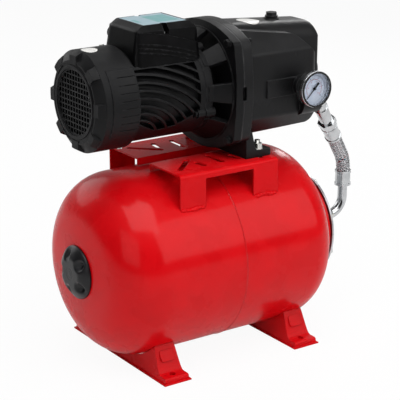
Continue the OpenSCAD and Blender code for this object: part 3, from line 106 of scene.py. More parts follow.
# the light of the room itself, and what mirrors and gloss see of its walls and ceiling
sky_light = 0.16
front_glow, backdrop_glow, ceiling_glow = 0.03, 0.42, 0.26
world = bpy.data.worlds.new("white_studio")
bpy.context.scene.world = world
world.use_nodes = True
tree = world.node_tree
rays = add(tree, "LightPath").outputs
looked_at = add(tree, "TexCoord").outputs["Generated"]
behind = add(tree, "VectorMath", {0: looked_at, 1: (-away.x, -away.y, 0)},
             operation="DOT_PRODUCT").outputs["Value"]
overhead = add(tree, "SeparateXYZ", {0: looked_at}).outputs[2]
wall = ranged(tree, behind, 0.0, 0.7, front_glow, backdrop_glow, "LINEAR")
ceiling = ranged(tree, overhead, 0.3, 0.8, 0.0, ceiling_glow, "LINEAR")
mirrored = combined(tree, wall, ceiling, "MAXIMUM")
seen_sky = add(tree, "Mix", {0: rays["Is Camera Ray"], 2: mirrored, 3: 1.0}).outputs[0]
strength = add(tree, "Mix", {0: seen_directly(tree, rays), 2: sky_light, 3: seen_sky}).outputs[0]
tree.links.new(strength, tree.nodes["Background"].inputs["Strength"])
tree.nodes["Background"].inputs["Color"].default_value = (1, 1, 1, 1)

# the floor is lifted to white where it is seen, and less where it is mirrored
floor_half = 9
floor_lift, floor_mirrored = 0.94, 0.25
floor_mesh = bpy.data.meshes.new("floor")
corners = [(x, y, 0) for x, y in ((-floor_half, -floor_half), (floor_half, -floor_half),
                                  (floor_half, floor_half), (-floor_half, floor_half))]
floor_mesh.from_pydata(corners, [], [(0, 1, 2, 3)])
floor_paint = bpy.data.materials.new("floor_white")
floor_paint.use_nodes = True
tree = floor_paint.node_tree
matt = tree.nodes["Principled BSDF"]
matt.inputs["Base Color"].default_value = (0.86, 0.86, 0.86, 1)
matt.inputs["Roughness"].default_value = 0.9
matt.inputs["Specular IOR Level"].default_value = 0.1
rays = add(tree, "LightPath").outputs
share = add(tree, "Mix", {0: rays["Is Glossy Ray"], 2: floor_lift, 3: floor_mirrored}).outputs[0]
lift = combined(tree, seen_directly(tree, rays), share)
glow = add(tree, "Emission", {"Color": (1, 1, 1, 1), "Strength": 1.0}).outputs[0]
lifted = add(tree, "MixShader", {0: lift, 1: matt.outputs[0], 2: glow}).outputs[0]
tree.links.new(lifted, tree.nodes["Material Output"].inputs["Surface"])
floor_mesh.materials.append(floor_paint)
floor = placed("floor", floor_mesh)

middle = Vector((0.03, 0, 0.26))


def soft_box(name, place, wide, tall, watts):
    """A rectangular lamp at a place, turned to the middle of the pump set."""
    lamp = bpy.data.lights.new(name, "AREA")
    lamp.shape = "RECTANGLE"
    lamp.size, lamp.size_y, lamp.energy = wide, tall, watts
    hung = placed(name, lamp)
    hung.location = place
    hung.rotation_euler = (middle - Vector(place)).to_track_quat("-Z", "Y").to_euler()


soft_box("box_above", (-0.25, -0.75, 2.4), 2.4, 1.8, 46)
soft_box("box_front", (1.5, -2.4, 1.8), 2.6, 2.4, 38)
soft_box("box_left", (-2.6, -1.4, 1.4), 2.0, 1.8, 12)
soft_box("strip_behind", (1.5, 1.1, 1.3), 0.3, 1.2, 10)
soft_box("box_behind", (-0.7, 2.6, 1.5), 2.2, 1.6, 20)


# Red tank: two deep-drawn steel shells, welded round the middle and powder coated in glossy
# red. The coat shows a faint orange peel, and the drawing leaves long soft waves in the
# sheet. The left shell is turned here with the full, round-shouldered dome that shows.
def shader_group(name, inputs, outputs):
    """An empty node group with named sockets; inputs are (name, kind, value)."""
    group = bpy.data.node_groups.new(name, "ShaderNodeTree")
    for label, kind, value in inputs:
        socket = group.interface.new_socket(label, in_out="INPUT", socket_type="NodeSocket" + kind)
        socket.default_value = value
    for label, kind in outputs:
        group.interface.new_socket(label, in_out="OUTPUT", socket_type="NodeSocket" + kind)
    ins = group.nodes.new("NodeGroupInput").outputs
    outs = group.nodes.new("NodeGroupOutput").inputs
    return group, ins, outs


def use_group(tree, group, wired=None):
    """The outputs of a node group placed in a material with its own values."""
    return add(tree, "Group", wired, node_tree=group).outputs


def position(tree):
    """A point's place on the piece, in metres."""
    return add(tree, "TexCoord").outputs["Object"]


def position_along(tree, axis):
    """A point's place along one axis, 0 for x, 1 for y and 2 for z."""
    return add(tree, "SeparateXYZ", {0: position(tree)}).outputs[axis]


def noise(tree, scale, detail=2.0, stretch=None):
    """Noise from 0 to 1 on the piece's own coordinates, stretched along an axis if asked."""
    place = position(tree)
    if stretch:
        place = add(tree, "Mapping", {"Vector": place, "Scale": stretch}).outputs[0]
    return add(tree, "TexNoise", {"Vector": place, "Scale": scale, "Detail": detail}).outputs[0]


def blended(tree, mask, low, high):
    """A colour between two, by a mask."""
    return add(tree, "Mix", {0: mask, 6: low, 7: high}, data_type="RGBA").outputs[2]


# long waves, fine peel and a slow change of tone in a sprayed coat
sprayed_coat, given, sent = shader_group(
    "sprayed_coat", [("Peel Scale", "Float", 700.0), ("Wave Scale", "Float", 7.0)],
    [("Height", "Float"), ("Tone", "Float")])
tree = sprayed_coat
peel = noise(tree, given["Peel Scale"], 1.0)
waves = noise(tree, given["Wave Scale"], 1.0)
peel_part = combined(tree, peel, 0.06)
tree.links.new(combined(tree, peel_part, waves, "ADD"), sent["Height"])
tree.links.new(ranged(tree, noise(tree, 23.0, 3.0), 0.3, 0.7), sent["Tone"])

# rounded edges, and a mask of where handling has rubbed them
soft_edges, given, sent = shader_group(
    "soft_edges", [("Radius", "Float", 0.0009), ("Patch Scale", "Float", 130.0)],
    [("Normal", "Vector"), ("Rubbed", "Float")])
tree = soft_edges
rounded = add(tree, "Bevel", {"Radius": given["Radius"]}, samples=4).outputs[0]
flat = add(tree, "NewGeometry").outputs["Normal"]
likeness = add(tree, "VectorMath", {0: rounded, 1: flat}, operation="DOT_PRODUCT").outputs["Value"]
edge = ranged(tree, likeness, 0.995, 0.93)
patches = ranged(tree, noise(tree, given["Patch Scale"], 3.0), 0.45, 0.62)
tree.links.new(rounded, sent["Normal"])
tree.links.new(combined(tree, edge, patches), sent["Rubbed"])

# dust that settles on what faces up
settled_dust, given, sent = shader_group(
    "settled_dust", [("Amount", "Float", 0.3), ("Patch Scale", "Float", 60.0)], [("Dust", "Float")])
tree = settled_dust
facing = add(tree, "NewGeometry").outputs["Normal"]
lying = ranged(tree, add(tree, "SeparateXYZ", {0: facing}).outputs[2], 0.35, 1.0)
clumps = ranged(tree, noise(tree, given["Patch Scale"], 6.0), 0.35, 0.75)
tree.links.new(combined(tree, combined(tree, lying, clumps), given["Amount"]), sent["Dust"])


def new_surface(name, **plain):
    """A material, its tree and its Principled shader, with the plain values set."""
    surface = bpy.data.materials.new(name)
    surface.use_nodes = True
    shader = surface.node_tree.nodes["Principled BSDF"]
    for socket, value in plain.items():
        shader.inputs[socket.replace("_", " ")].default_value = value
    return surface, surface.node_tree, shader


def feed(tree, shader, colour=None, roughness=None, metallic=None, height=None, depth=0.0001,
         normal=None):
    """Wires what changes over the surface; a height is pressed in as a bump of that depth."""
    if height is not None:
        wired = {"Height": height, "Distance": depth, "Strength": 1.0}
        if normal is not None:
            wired["Normal"] = normal
        normal = add(tree, "Bump", wired).outputs[0]
    fed = {"Base Color": colour, "Roughness": roughness, "Metallic": metallic, "Normal": normal}
    for socket, value in fed.items():
        if value is not None:
            tree.links.new(value, shader.inputs[socket])


def dress(surface, *nodes):
    """Gives CAD nodes their material."""
    for node in nodes:
        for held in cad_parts[node].material_slots:
            held.material = surface


red = (0.66, 0.0025, 0.0058, 1)
deep_red = (0.60, 0.0022, 0.0050, 1)


def red_coat(name, gloss, wave_scale, peel_depth, rubbed_amount, dust_amount):
    """The red powder coat, its gloss, waves, worn edges and dust as the piece needs."""
    surface, tree, shader = new_surface(name, Coat_Weight=gloss, Coat_Roughness=0.14,
                                        Specular_IOR_Level=0.06)
    coat = use_group(tree, sprayed_coat, {"Wave Scale": wave_scale})
    edges = use_group(tree, soft_edges, {"Radius": 0.0012})
    dust = use_group(tree, settled_dust, {"Amount": dust_amount})["Dust"]
    colour = blended(tree, coat["Tone"], deep_red, red)
    rubbed = combined(tree, edges["Rubbed"], rubbed_amount)
    colour = blended(tree, rubbed, colour, (0.30, 0.02, 0.02, 1))
    colour = blended(tree, dust, colour, (0.60, 0.25, 0.23, 1))
    roughness = ranged(tree, coat["Tone"], 0.0, 1.0, 0.24, 0.34)
    feed(tree, shader, colour, combined(tree, roughness, combined(tree, dust, 0.4), "ADD"),
         height=coat["Height"], depth=peel_depth, normal=edges["Normal"])
    return surface


tank_coat = red_coat("tank_coat", 0.22, 7.0, 0.0005, 0.0, 0.01)
dress(tank_coat, "tank_shell_right", "tank_neck")


def mesh_piece(name, points, faces, surface, body="base", smooth=True, slot=None):
    """A mesh object from points and faces, with its material, riding on a body."""
    mesh = bpy.data.meshes.new(name)
    mesh.from_pydata(points, [], faces)
    mesh.validate()
    mesh.polygons.foreach_set("use_smooth", [smooth] * len(mesh.polygons))
    mesh.materials.append(surface)
    piece = placed(name, mesh)
    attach(piece, body)
    return piece


shell_low, shell_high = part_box("tank_shell_left")
tank_radius = (shell_high.z - shell_low.z) / 2
tank_axis_z = (shell_high.z + shell_low.z) / 2
barrel_end = 0.125
dome_depth = -shell_low.x - barrel_end
knuckle = 0.072
sheet = 0.0014
valve_hole = 0.0062
edge_strip = 0.0005
knuckle_steps, crown_steps, tank_sides = 36, 24, 192
crown_reach = tank_radius - knuckle
crown = (crown_reach ** 2 + dome_depth ** 2 - knuckle ** 2) / (2 * (dome_depth - knuckle))
crown_middle = barrel_end + dome_depth - crown


def dome_path(inset):
    """Points (distance along the tank, radius) of the left shell's skin, from its middle edge
    over the knuckle to the valve hole."""
    path = [(along, tank_radius - inset) for along in (0.0, edge_strip, barrel_end - edge_strip)]
    meet = asin(crown_reach / (crown - knuckle))
    for k in range(knuckle_steps + 1):
        turn = pi / 2 + (meet - pi / 2) * k / knuckle_steps
        path.append((barrel_end + (knuckle - inset) * cos(turn),
                     crown_reach + (knuckle - inset) * sin(turn)))
    hole = asin(valve_hole / (crown - inset))
    for k in range(1, crown_steps + 1):
        turn = meet + (hole - meet) * k / crown_steps
        path.append((crown_middle + (crown - inset) * cos(turn),
                     (crown - inset) * sin(turn)))
    return path


def turned(path, around):
    """Points and faces of a closed path of (distance to the left, radius) pairs turned about
    the tank's axis."""
    points = [(-along, radius * cos(2 * pi * k / around),
               tank_axis_z + radius * sin(2 * pi * k / around))
              for along, radius in path for k in range(around)]
    faces = []
    for r in range(len(path)):
        n = (r + 1) % len(path)
        for k in range(around):
            j = (k + 1) % around
            faces.append((r * around + k, n * around + k, n * around + j, r * around + j))
    return points, faces


skin = turned(dome_path(0.0) + dome_path(sheet)[::-1], tank_sides)
left_shell = mesh_piece("left_shell", *skin, tank_coat, slot="red_paint")
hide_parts("tank_shell_left")

# Middle weld: one machine-laid bead that joins the two shells under the coat, its ripples
# standing across the seam.
seam_coat, tree, shader = new_surface("seam_coat", Coat_Weight=0.4, Coat_Roughness=0.06,
                                      Specular_IOR_Level=0.12)
ripple = add(tree, "TexWave", {"Vector": position(tree), "Scale": 75.0, "Distortion": 6.0,
                               "Detail": 2.0, "Detail Scale": 40.0},
             bands_direction="Y").outputs["Fac"]
feed(tree, shader, blended(tree, ripple, deep_red, red), ranged(tree, ripple, 0, 1, 0.38, 0.26),
     height=ripple, depth=0.00025)
dress(seam_coat, "seam_weld")


# Rubber bag inside the tank: moulded butyl, matt, with a bloom of talc. Its rim is clamped
# under the flange.
def clouded(name, patches, low, high, gloss, grain, depth, edge=None, **plain):
    """A surface that drifts between two colours and two roughnesses over a fine grain.
    patches holds a noise's scale and detail and the span of it that shows."""
    surface, tree, shader = new_surface(name, **plain)
    scale, detail, start, end = patches
    cloud = ranged(tree, noise(tree, scale, detail), start, end)
    normal = use_group(tree, soft_edges, {"Radius": edge})["Normal"] if edge else None
    feed(tree, shader, blended(tree, cloud, low, high), ranged(tree, cloud, 0, 1, *gloss),
         height=noise(tree, *grain), depth=depth, normal=normal)
    return surface


bag_rubber = clouded("bag_rubber", (35.0, 5.0, 0.45, 0.8), (0.012, 0.012, 0.013, 1),
                     (0.06, 0.06, 0.06, 1), (0.6, 0.85), (900.0, 3.0), 0.00008,
                     Specular_IOR_Level=0.3)
dress(bag_rubber, "membrane")

# Tank flange: a pressed plate, hot-dip galvanised, so its zinc shows a grey spangle of
# crystals; its hub is turned and threaded for the union.
galvanised, tree, shader = new_surface("galvanised", Metallic=1.0)
spangle = add(tree, "TexVoronoi", {"Vector": position(tree), "Scale": 140.0}).outputs["Color"]
crystal = add(tree, "SeparateColor", {0: spangle}).outputs[0]
edges = use_group(tree, soft_edges, {"Radius": 0.0008})
stains = ranged(tree, noise(tree, 30.0, 5.0), 0.5, 0.75)
tone = blended(tree, crystal, (0.42, 0.43, 0.45, 1), (0.66, 0.67, 0.69, 1))
feed(tree, shader, blended(tree, stains, tone, (0.45, 0.45, 0.44, 1)),
     ranged(tree, crystal, 0, 1, 0.28, 0.46), height=noise(tree, 420.0, 3.0), depth=0.00006,
     normal=edges["Normal"])
dress(galvanised, "tank_flange")


# Fasteners: cold-headed steel, bright zinc plated, with fine drawing marks and a faint
# yellow passivation. Threads are cut along the shanks.
def worked_metal(name, marks, patches, low, high, gloss, depth):
    """Bare metal with the marks of its tool, a noise drawn out along an axis, and patches
    of another tone."""
    surface, tree, shader = new_surface(name, Metallic=1.0)
    cuts = noise(tree, marks[0], 2.0, marks[1])
    scale, detail, start, end = patches
    tint = ranged(tree, noise(tree, scale, detail), start, end)
    edges = use_group(tree, soft_edges, {"Radius": 0.0004})
    feed(tree, shader, blended(tree, tint, low, high), ranged(tree, cuts, 0.2, 0.8, *gloss),
         height=cuts, depth=depth, normal=edges["Normal"])
    return surface


bright_zinc = worked_metal("bright_zinc", (900.0, (1, 1, 0.15)), (180.0, 3.0, 0.35, 0.7),
                           (0.60, 0.61, 0.63, 1), (0.70, 0.68, 0.60, 1), (0.2, 0.36), 0.00004)
dress(bright_zinc, "tank_bolts", "cover_screws", "terminal_screws")

threaded_zinc, tree, shader = new_surface("threaded_zinc", Metallic=1.0)
turns = add(tree, "TexWave", {"Vector": position(tree), "Scale": 250.0},
            bands_direction="Z", wave_profile="TRI").outputs["Fac"]
nut_top, run_in = 0.3112, 0.0001
above_nut = ranged(tree, position_along(tree, 2), nut_top, nut_top + run_in)
edges = use_group(tree, soft_edges, {"Radius": 0.0005})
feed(tree, shader, blended(tree, noise(tree, 160.0, 3.0), (0.58, 0.59, 0.61, 1),
                           (0.70, 0.68, 0.60, 1)),
     ranged(tree, noise(tree, 700.0), 0.2, 0.8, 0.2, 0.36), height=combined(tree, turns, above_nut),
     depth=0.0005, normal=edges["Normal"])
dress(threaded_zinc, "foot_bolts")

# Air valve: turned brass stem and hexagon on the left dome, with its steel pin. The impeller
# and the ejector are of the same brass, and the shaft, rotor and bearings of the same steel.
turned_brass = worked_metal("turned_brass", (600.0, (8, 1, 1)), (70.0, 4.0, 0.4, 0.75),
                            (0.70, 0.50, 0.20, 1), (0.45, 0.31, 0.13, 1), (0.2, 0.34), 0.00004)
dress(turned_brass, "air_valve", "impeller", "ejector")

machined_steel = worked_metal("machined_steel", (700.0, (9, 1, 1)), (50.0, 4.0, 0.45, 0.7),
                              (0.58, 0.59, 0.60, 1), (0.40, 0.39, 0.37, 1), (0.22, 0.36), 0.00003)
dress(machined_steel, "valve_pin", "shaft", "rotor", "stator_core", "bearing_front",
      "bearing_rear", "impeller_nut", "seal_head")


# Valve cap: a black polypropylene cap pressed over the air valve, with five finger hollows
# round a raised face. The two plugs of the pump are moulded in the same plastic.
def black_moulding(name, low, high, shine, grain, grain_depth, gloss_low, gloss_high, radius):
    """Black moulded plastic with its spark-eroded grain, rubbed edges and a little dust."""
    surface, tree, shader = new_surface(name, Specular_IOR_Level=shine)
    edges = use_group(tree, soft_edges, {"Radius": radius})
    dust = use_group(tree, settled_dust, {"Amount": 0.035})["Dust"]
    cloud = ranged(tree, noise(tree, 40.0, 4.0), 0.35, 0.7)
    colour = blended(tree, cloud, low, high)
    colour = blended(tree, combined(tree, edges["Rubbed"], 0.5), colour, (0.045, 0.045, 0.048, 1))
    colour = blended(tree, dust, colour, (0.16, 0.16, 0.16, 1))
    rough = combined(tree, ranged(tree, cloud, 0, 1, gloss_low, gloss_high),
                     combined(tree, dust, 0.3), "ADD")
    feed(tree, shader, colour, rough, height=noise(tree, grain, 3.0), depth=grain_depth,
         normal=edges["Normal"])
    return surface


cap_plastic = black_moulding("cap_plastic", (0.007, 0.007, 0.008, 1), (0.010, 0.010, 0.012, 1),
                             0.3, 1100.0, 0.00006, 0.30, 0.42, 0.0014)
dress(cap_plastic, "priming_plug", "drain_plug")
cap_low, cap_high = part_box("valve_cap")
cap_radius = (cap_high.z - cap_low.z) / 2
cap_front = -cap_low.x
cap_bore = 0.016
cap_rim = 0.0028
cap_wall = 0.0026
cap_gap = 0.0001
least_wall = 0.0006
face_radius = 0.0215
hollow_angles = [radians(a) for a in (-20, 52, 124, 196, 268)]
hollow_at, hollow_half, hollow_deep = 0.0275, 0.0105, 0.0075
fine_rings, ring_half, ring_deep = (0.0045, 0.0085), 0.0008, 0.0005
# radii of the points: even steps over the front, one just inside its edge, four at the back
front_step, front_stop, edge_inset = 0.0012, 0.0008, 0.0005
back_radii = (0.034, 0.028, 0.022, cap_bore)


def dome_reach(radius):
    """How far out the dome stands at a radius."""
    return crown_middle + sqrt(crown ** 2 - radius ** 2)


def cap_reach(radius, turn):
    """How far out the cap's front stands: a raised face, a falling shoulder, five hollows and
    two fine rings round the middle."""
    edge = dome_reach(cap_radius) + cap_rim
    fall = min(1.0, max(0.0, (radius - face_radius) / (cap_radius - face_radius)))
    reach = cap_front - (cap_front - edge) * fall ** 1.7
    for angle in hollow_angles:
        dy = radius * cos(turn) - hollow_at * cos(angle)
        dz = radius * sin(turn) - hollow_at * sin(angle)
        near = hypot(dy, dz) / hollow_half
        if near < 1:
            reach -= hollow_deep * (cos(pi * near) / 2 + 0.5)
    for ring in fine_rings:
        reach -= ring_deep * max(0.0, 1 - abs(radius - ring) / ring_half)
    return max(reach, dome_reach(radius) + least_wall)


def valve_cap_mesh(around=160):
    """Front, edge, back and bore of the cap as rings round its axis, closed at both middles."""
    rim = dome_reach(cap_radius)
    front_radii = [front_step * k for k in range(1, 32)]
    rings = [(r, None) for r in front_radii if r < cap_radius - front_stop]
    rings.append((cap_radius - edge_inset, None))
    rings += [(cap_radius, rim + cap_rim - least_wall), (cap_radius, rim + cap_gap)]
    rings += [(r, dome_reach(r) + cap_gap) for r in back_radii]
    rings += [(cap_bore, cap_front - cap_wall), (cap_bore / 2, cap_front - cap_wall)]
    points = [(-cap_front, 0, tank_axis_z)]
    for radius, fixed in rings:
        for k in range(around):
            turn = 2 * pi * k / around
            # the angles run from straight up towards the near side
            reach = fixed if fixed is not None else cap_reach(radius, turn)
            points.append((-reach, -radius * sin(turn), tank_axis_z + radius * cos(turn)))
    points.append((-(cap_front - cap_wall), 0, tank_axis_z))
    faces = []
    last = len(points) - 1
    for k in range(around):
        j = (k + 1) % around
        faces.append((0, 1 + k, 1 + j))
        for r in range(len(rings) - 1):
            a, b = 1 + r * around, 1 + (r + 1) * around
            faces.append((a + k, b + k, b + j, a + j))
        end = 1 + (len(rings) - 1) * around
        faces.append((end + k, last, end + j))
    return points, faces


cap_piece = mesh_piece("finger_cap", *valve_cap_mesh(), cap_plastic, body="cap",
                       slot="black_plastic")
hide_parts("valve_cap")

# Feet and pump bracket: pressed and folded sheet, spot and arc welded to the tank before
# the coating, so the same red runs over them; the cut edges wear first.
sheet_coat = red_coat("sheet_coat", 0.08, 14.0, 0.0004, 0.6, 0.03)
dress(sheet_coat, "foot_left", "foot_right", "rail_near", "rail_far")


# Bracket welds: short arc runs along the four legs of the rails, where they stand on the
# tank, laid by hand, uneven and coated over.
def swept(rings):
    """Points and faces of a skin through closed rings of points, with both ends closed."""
    count = len(rings[0])
    points = [p for ring in rings for p in ring]
    faces = []
    for r in range(len(rings) - 1):
        for i in range(count):
            j = (i + 1) % count
            faces.append((r * count + i, r * count + j, (r + 1) * count + j, (r + 1) * count + i))
    faces.append(tuple(reversed(range(count))))
    faces.append(tuple((len(rings) - 1) * count + i for i in range(count)))
    return points, faces


def joined(skins):
    """Points and faces of several skins as one."""
    points, faces = [], []
    for more_points, more_faces in skins:
        faces += [tuple(i + len(points) for i in face) for face in more_faces]
        points += more_points
    return points, faces


rail_low, rail_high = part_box("rail_near")
leg_width = 0.043
weld_y = abs(rail_low.y)
weld_z = tank_axis_z + sqrt(tank_radius ** 2 - weld_y ** 2)
bead_sides, bead_steps = 10, 60
drops_on_leg = 7
bead_size, drop_size, wander = 0.0022, 0.0011, 0.0007
bead_sunk = 0.0006


def bead_rings(start_x, side, seed):
    """Rings of one weld run: lapping drops whose size wanders."""
    rings = []
    turns = [2 * pi * k / bead_sides for k in range(bead_sides)]
    for s in range(bead_steps + 1):
        t = s / bead_steps
        drop = abs(sin(pi * (t * drops_on_leg + seed)))
        swell = bead_size + drop_size * drop + wander * sin(11 * t + 5 * seed)
        swell *= min(1.0, 8 * t + 0.15, 8 * (1 - t) + 0.15)
        drift = wander * sin(9 * t + 3 * seed)
        rings.append([(start_x + t * leg_width,
                       side * (weld_y + bead_sunk) + swell * cos(a),
                       weld_z - bead_sunk + drift + swell * sin(a)) for a in turns])
    return rings


beads = [swept(bead_rings(start, side, 0.37 + number + 2 * (side > 0))) for side in (-1, 1)
         for number, start in enumerate((rail_low.x, rail_high.x - leg_width))]
welds = mesh_piece("bracket_welds", *joined(beads), sheet_coat, slot="red_paint")
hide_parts("rail_welds")

# Pump body, lantern and motor frame: grey iron castings with a sandy skin, sprayed satin
# black. The upper edges and the end of the pump's hump are drawn round here.
cast_skin, given, sent = shader_group(
    "cast_skin", [("Sand Scale", "Float", 520.0), ("Pit Scale", "Float", 90.0)],
    [("Height", "Float"), ("Tone", "Float")])
tree = cast_skin
sand = noise(tree, given["Sand Scale"], 4.0)
pits = ranged(tree, noise(tree, given["Pit Scale"], 2.0), 0.62, 0.75, 0.0, -1.2)
tree.links.new(combined(tree, sand, pits, "ADD"), sent["Height"])
tree.links.new(ranged(tree, noise(tree, 15.0, 4.0), 0.3, 0.7), sent["Tone"])


def black_casting(name, low, high, shine, skin_depth, gloss_low, gloss_high):
    """Sprayed black over a cast skin, rubbed to a grey sheen along the edges."""
    surface, tree, shader = new_surface(name, Specular_IOR_Level=shine)
    skin = use_group(tree, cast_skin)
    edges = use_group(tree, soft_edges, {"Radius": 0.0018, "Patch Scale": 90.0})
    dust = use_group(tree, settled_dust, {"Amount": 0.03})["Dust"]
    colour = blended(tree, skin["Tone"], low, high)
    colour = blended(tree, combined(tree, edges["Rubbed"], 0.55), colour, (0.040, 0.040, 0.042, 1))
    colour = blended(tree, dust, colour, (0.16, 0.16, 0.16, 1))
    rough = combined(tree, ranged(tree, skin["Tone"], 0, 1, gloss_low, gloss_high),
                     combined(tree, dust, 0.3), "ADD")
    feed(tree, shader, colour, rough, height=skin["Height"], depth=skin_depth,
         normal=edges["Normal"])
    return surface


body_iron = black_casting("body_iron", (0.0034, 0.0034, 0.0038, 1), (0.0058, 0.0058, 0.0065, 1),
                          0.22, 0.00016, 0.36, 0.46)


def copied(node, name, surface):
    """A new piece with a CAD node's own mesh, its doubled corners joined, to be worked on."""
    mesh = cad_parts[node].data.copy()
    mesh.name = name
    for layer in [a for a in mesh.attributes if a.name == "custom_normal"]:
        mesh.attributes.remove(layer)
    net = bmesh.new()
    net.from_mesh(mesh)
    bmesh.ops.remove_doubles(net, verts=net.verts, dist=1e-6)
    net.to_mesh(mesh)
    net.free()
    mesh.materials.clear()
    mesh.materials.append(surface)
    piece = placed(name, mesh)
    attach(piece, "base")
    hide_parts(node)
    return piece


def smoothed(mesh, angle):
    """Smooth shading that keeps corners sharper than an angle in degrees."""
    mesh.polygons.foreach_set("use_smooth", [True] * len(mesh.polygons))
    mesh.set_sharp_from_angle(angle=radians(angle))


def cut_away(piece, points, faces):
    """Takes a closed form out of a piece for good."""
    mesh = bpy.data.meshes.new("cutting_form")
    mesh.from_pydata(points, [], faces)
    cutter = placed("cutting_form", mesh)
    change = piece.modifiers.new("cut", "BOOLEAN")
    change.operation, change.object, change.solver = "DIFFERENCE", cutter, "EXACT"
    bpy.context.view_layer.update()
    worked = piece.evaluated_get(bpy.context.evaluated_depsgraph_get())
    shaped = bpy.data.meshes.new_from_object(worked)
    piece.modifiers.clear()
    piece.data = shaped
    bpy.data.objects.remove(cutter)


pump_iron = copied("pump_body", "pump_casting", body_iron)
# the hump: its half width, the flat part of that, how its top falls, and its rounded end
top_half, flat_half = 0.0381, 0.0126
top_bend = top_half - flat_half
top_high, top_low, top_from, top_to = 0.48102, 0.47002, 0.040, 0.182
hump_end, end_round = 0.2001, 0.018
clear_of_chamber = 0.0003
# what is cut away reaches from one x to another, up to a height and out to a side
cut_start, cut_end, cut_top, cut_side = 0.0402, 0.215, 0.52, 0.062
arc_steps, along_steps, end_steps = 16, 24, 12


def chamber_top(x):
    """Height of the main chamber's upper outline at x, with a little room."""
    corners = ((0.0, 0.479), (0.139, 0.460), (0.167, 0.430), (0.30, 0.430))
    for (x0, z0), (x1, z1) in zip(corners, corners[1:]):
        if x <= x1:
            return z0 + (z1 - z0) * (x - x0) / (x1 - x0) + clear_of_chamber
    return corners[-1][1]


def hump_corner(x, side):
    """Section of what is cut off the hump's upper edge at x, on one side."""
    past = min(end_round, max(0.0, x - (hump_end - end_round)))
    inset = end_round - sqrt(end_round ** 2 - past ** 2)
    share = (min(x, top_to) - top_from) / (top_to - top_from)
    top = top_high + share * (top_low - top_high) - inset
    foot = chamber_top(x)
    first = asin(max(0.0, min(0.999, (foot - (top - top_bend)) / top_bend)))
    loop = [(top_half - top_bend + top_bend * cos(first), foot)]
    for k in range(arc_steps + 1):
        turn = first + (pi / 2 - first) * k / arc_steps
        # each point a hair higher than its arc, so that none meet where the arc is short
        loop.append((top_half - top_bend + top_bend * cos(turn),
                     top - top_bend + top_bend * sin(turn) + 1e-6 * k))
    loop += [(flat_half, cut_top), (cut_side, cut_top), (cut_side, foot)]
    return [(x, side * y, z) for y, z in (loop if side < 0 else loop[::-1])]


round_start = hump_end - end_round
stations = [cut_start + (round_start - cut_start) * k / along_steps for k in range(along_steps + 1)]
stations += [round_start + end_round * sin(pi / 2 * k / end_steps)
             for k in range(1, end_steps + 1)] + [cut_end]
for side in (1, -1):
    cut_away(pump_iron, *swept([hump_corner(x, side) for x in stations]))
smoothed(pump_iron.data, 32)

motor_paint = black_casting("motor_paint", (0.0022, 0.0022, 0.0026, 1),
                            (0.0040, 0.0040, 0.0046, 1), 0.16, 0.00010, 0.40, 0.50)
dress(motor_paint, "lantern", "motor_frame", "rear_shield", "casing_bolts", "frame_screws")

# Gasket, plug ring and seal faces: the same rubber as the bag, pressed between the pump's
# parts, and a lapped ceramic seat behind the impeller.
dress(bag_rubber, "casing_gasket", "plug_oring")
lapped_ceramic, tree, shader = new_surface("lapped_ceramic")
specks = ranged(tree, noise(tree, 500.0, 3.0), 0.4, 0.7)
feed(tree, shader, blended(tree, specks, (0.86, 0.85, 0.80, 1), (0.78, 0.76, 0.70, 1)),
     ranged(tree, specks, 0, 1, 0.18, 0.3), height=specks, depth=0.00002)
dress(lapped_ceramic, "seal_seat")

# Windings: enamelled copper wire in the slots of the stator core, taped and varnished, its
# turns running round the core.
wound_copper, tree, shader = new_surface("wound_copper", Metallic=0.9, Coat_Weight=0.6)
strands = noise(tree, 260.0, 2.0, (1, 6, 6))
feed(tree, shader, blended(tree, strands, (0.36, 0.13, 0.05, 1), (0.70, 0.34, 0.16, 1)),
     ranged(tree, strands, 0.2, 0.8, 0.2, 0.45), height=strands, depth=0.0006)
dress(wound_copper, "windings")

# Fan cover, fan, diffuser and gland: black glass-filled nylon with a fine grain. The cover is
# screwed over the fan, with its square mesh cut through.
cover_plastic = black_moulding("cover_plastic", (0.0034, 0.0034, 0.0038, 1),
                               (0.0052, 0.0052, 0.0058, 1), 0.18, 1300.0, 0.00007, 0.44, 0.56,
                               0.0011)
dress(cover_plastic, "fan_cover", "fan", "diffuser", "cable_gland")

# Terminal box: a base and a lid of smoother black nylon, screwed down on the motor frame.
# Their upright corners are drawn round, the far left one most.
box_plastic = black_moulding("box_plastic", (0.0018, 0.0018, 0.0020, 1),
                             (0.0028, 0.0028, 0.0032, 1), 0.09, 1500.0, 0.00005, 0.30, 0.40, 0.0014)
box_low, box_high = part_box("terminal_cover")
# each corner's side along x, its side along y, and its radius
box_corners = ((-1, 1, 0.019), (-1, -1, 0.005), (1, 1, 0.010), (1, -1, 0.007))
# edges longer than these are halved, one round after another
longest_edges = (0.02, 0.01, 0.006, 0.004)


def rounded_upright(point, corner):
    """Where a point goes when an upright corner of the box is drawn round."""
    end, side, bend = corner
    centre_x = (box_low.x + bend) if end < 0 else (box_high.x - bend)
    centre_y = (box_low.y + bend) if side < 0 else (box_high.y - bend)
    a, b = end * (point.x - centre_x), side * (point.y - centre_y)
    if a <= 0 or b <= 0:
        return point
    scale = max(a, b) / hypot(a, b)
    return Vector((centre_x + end * a * scale, centre_y + side * b * scale, point.z))


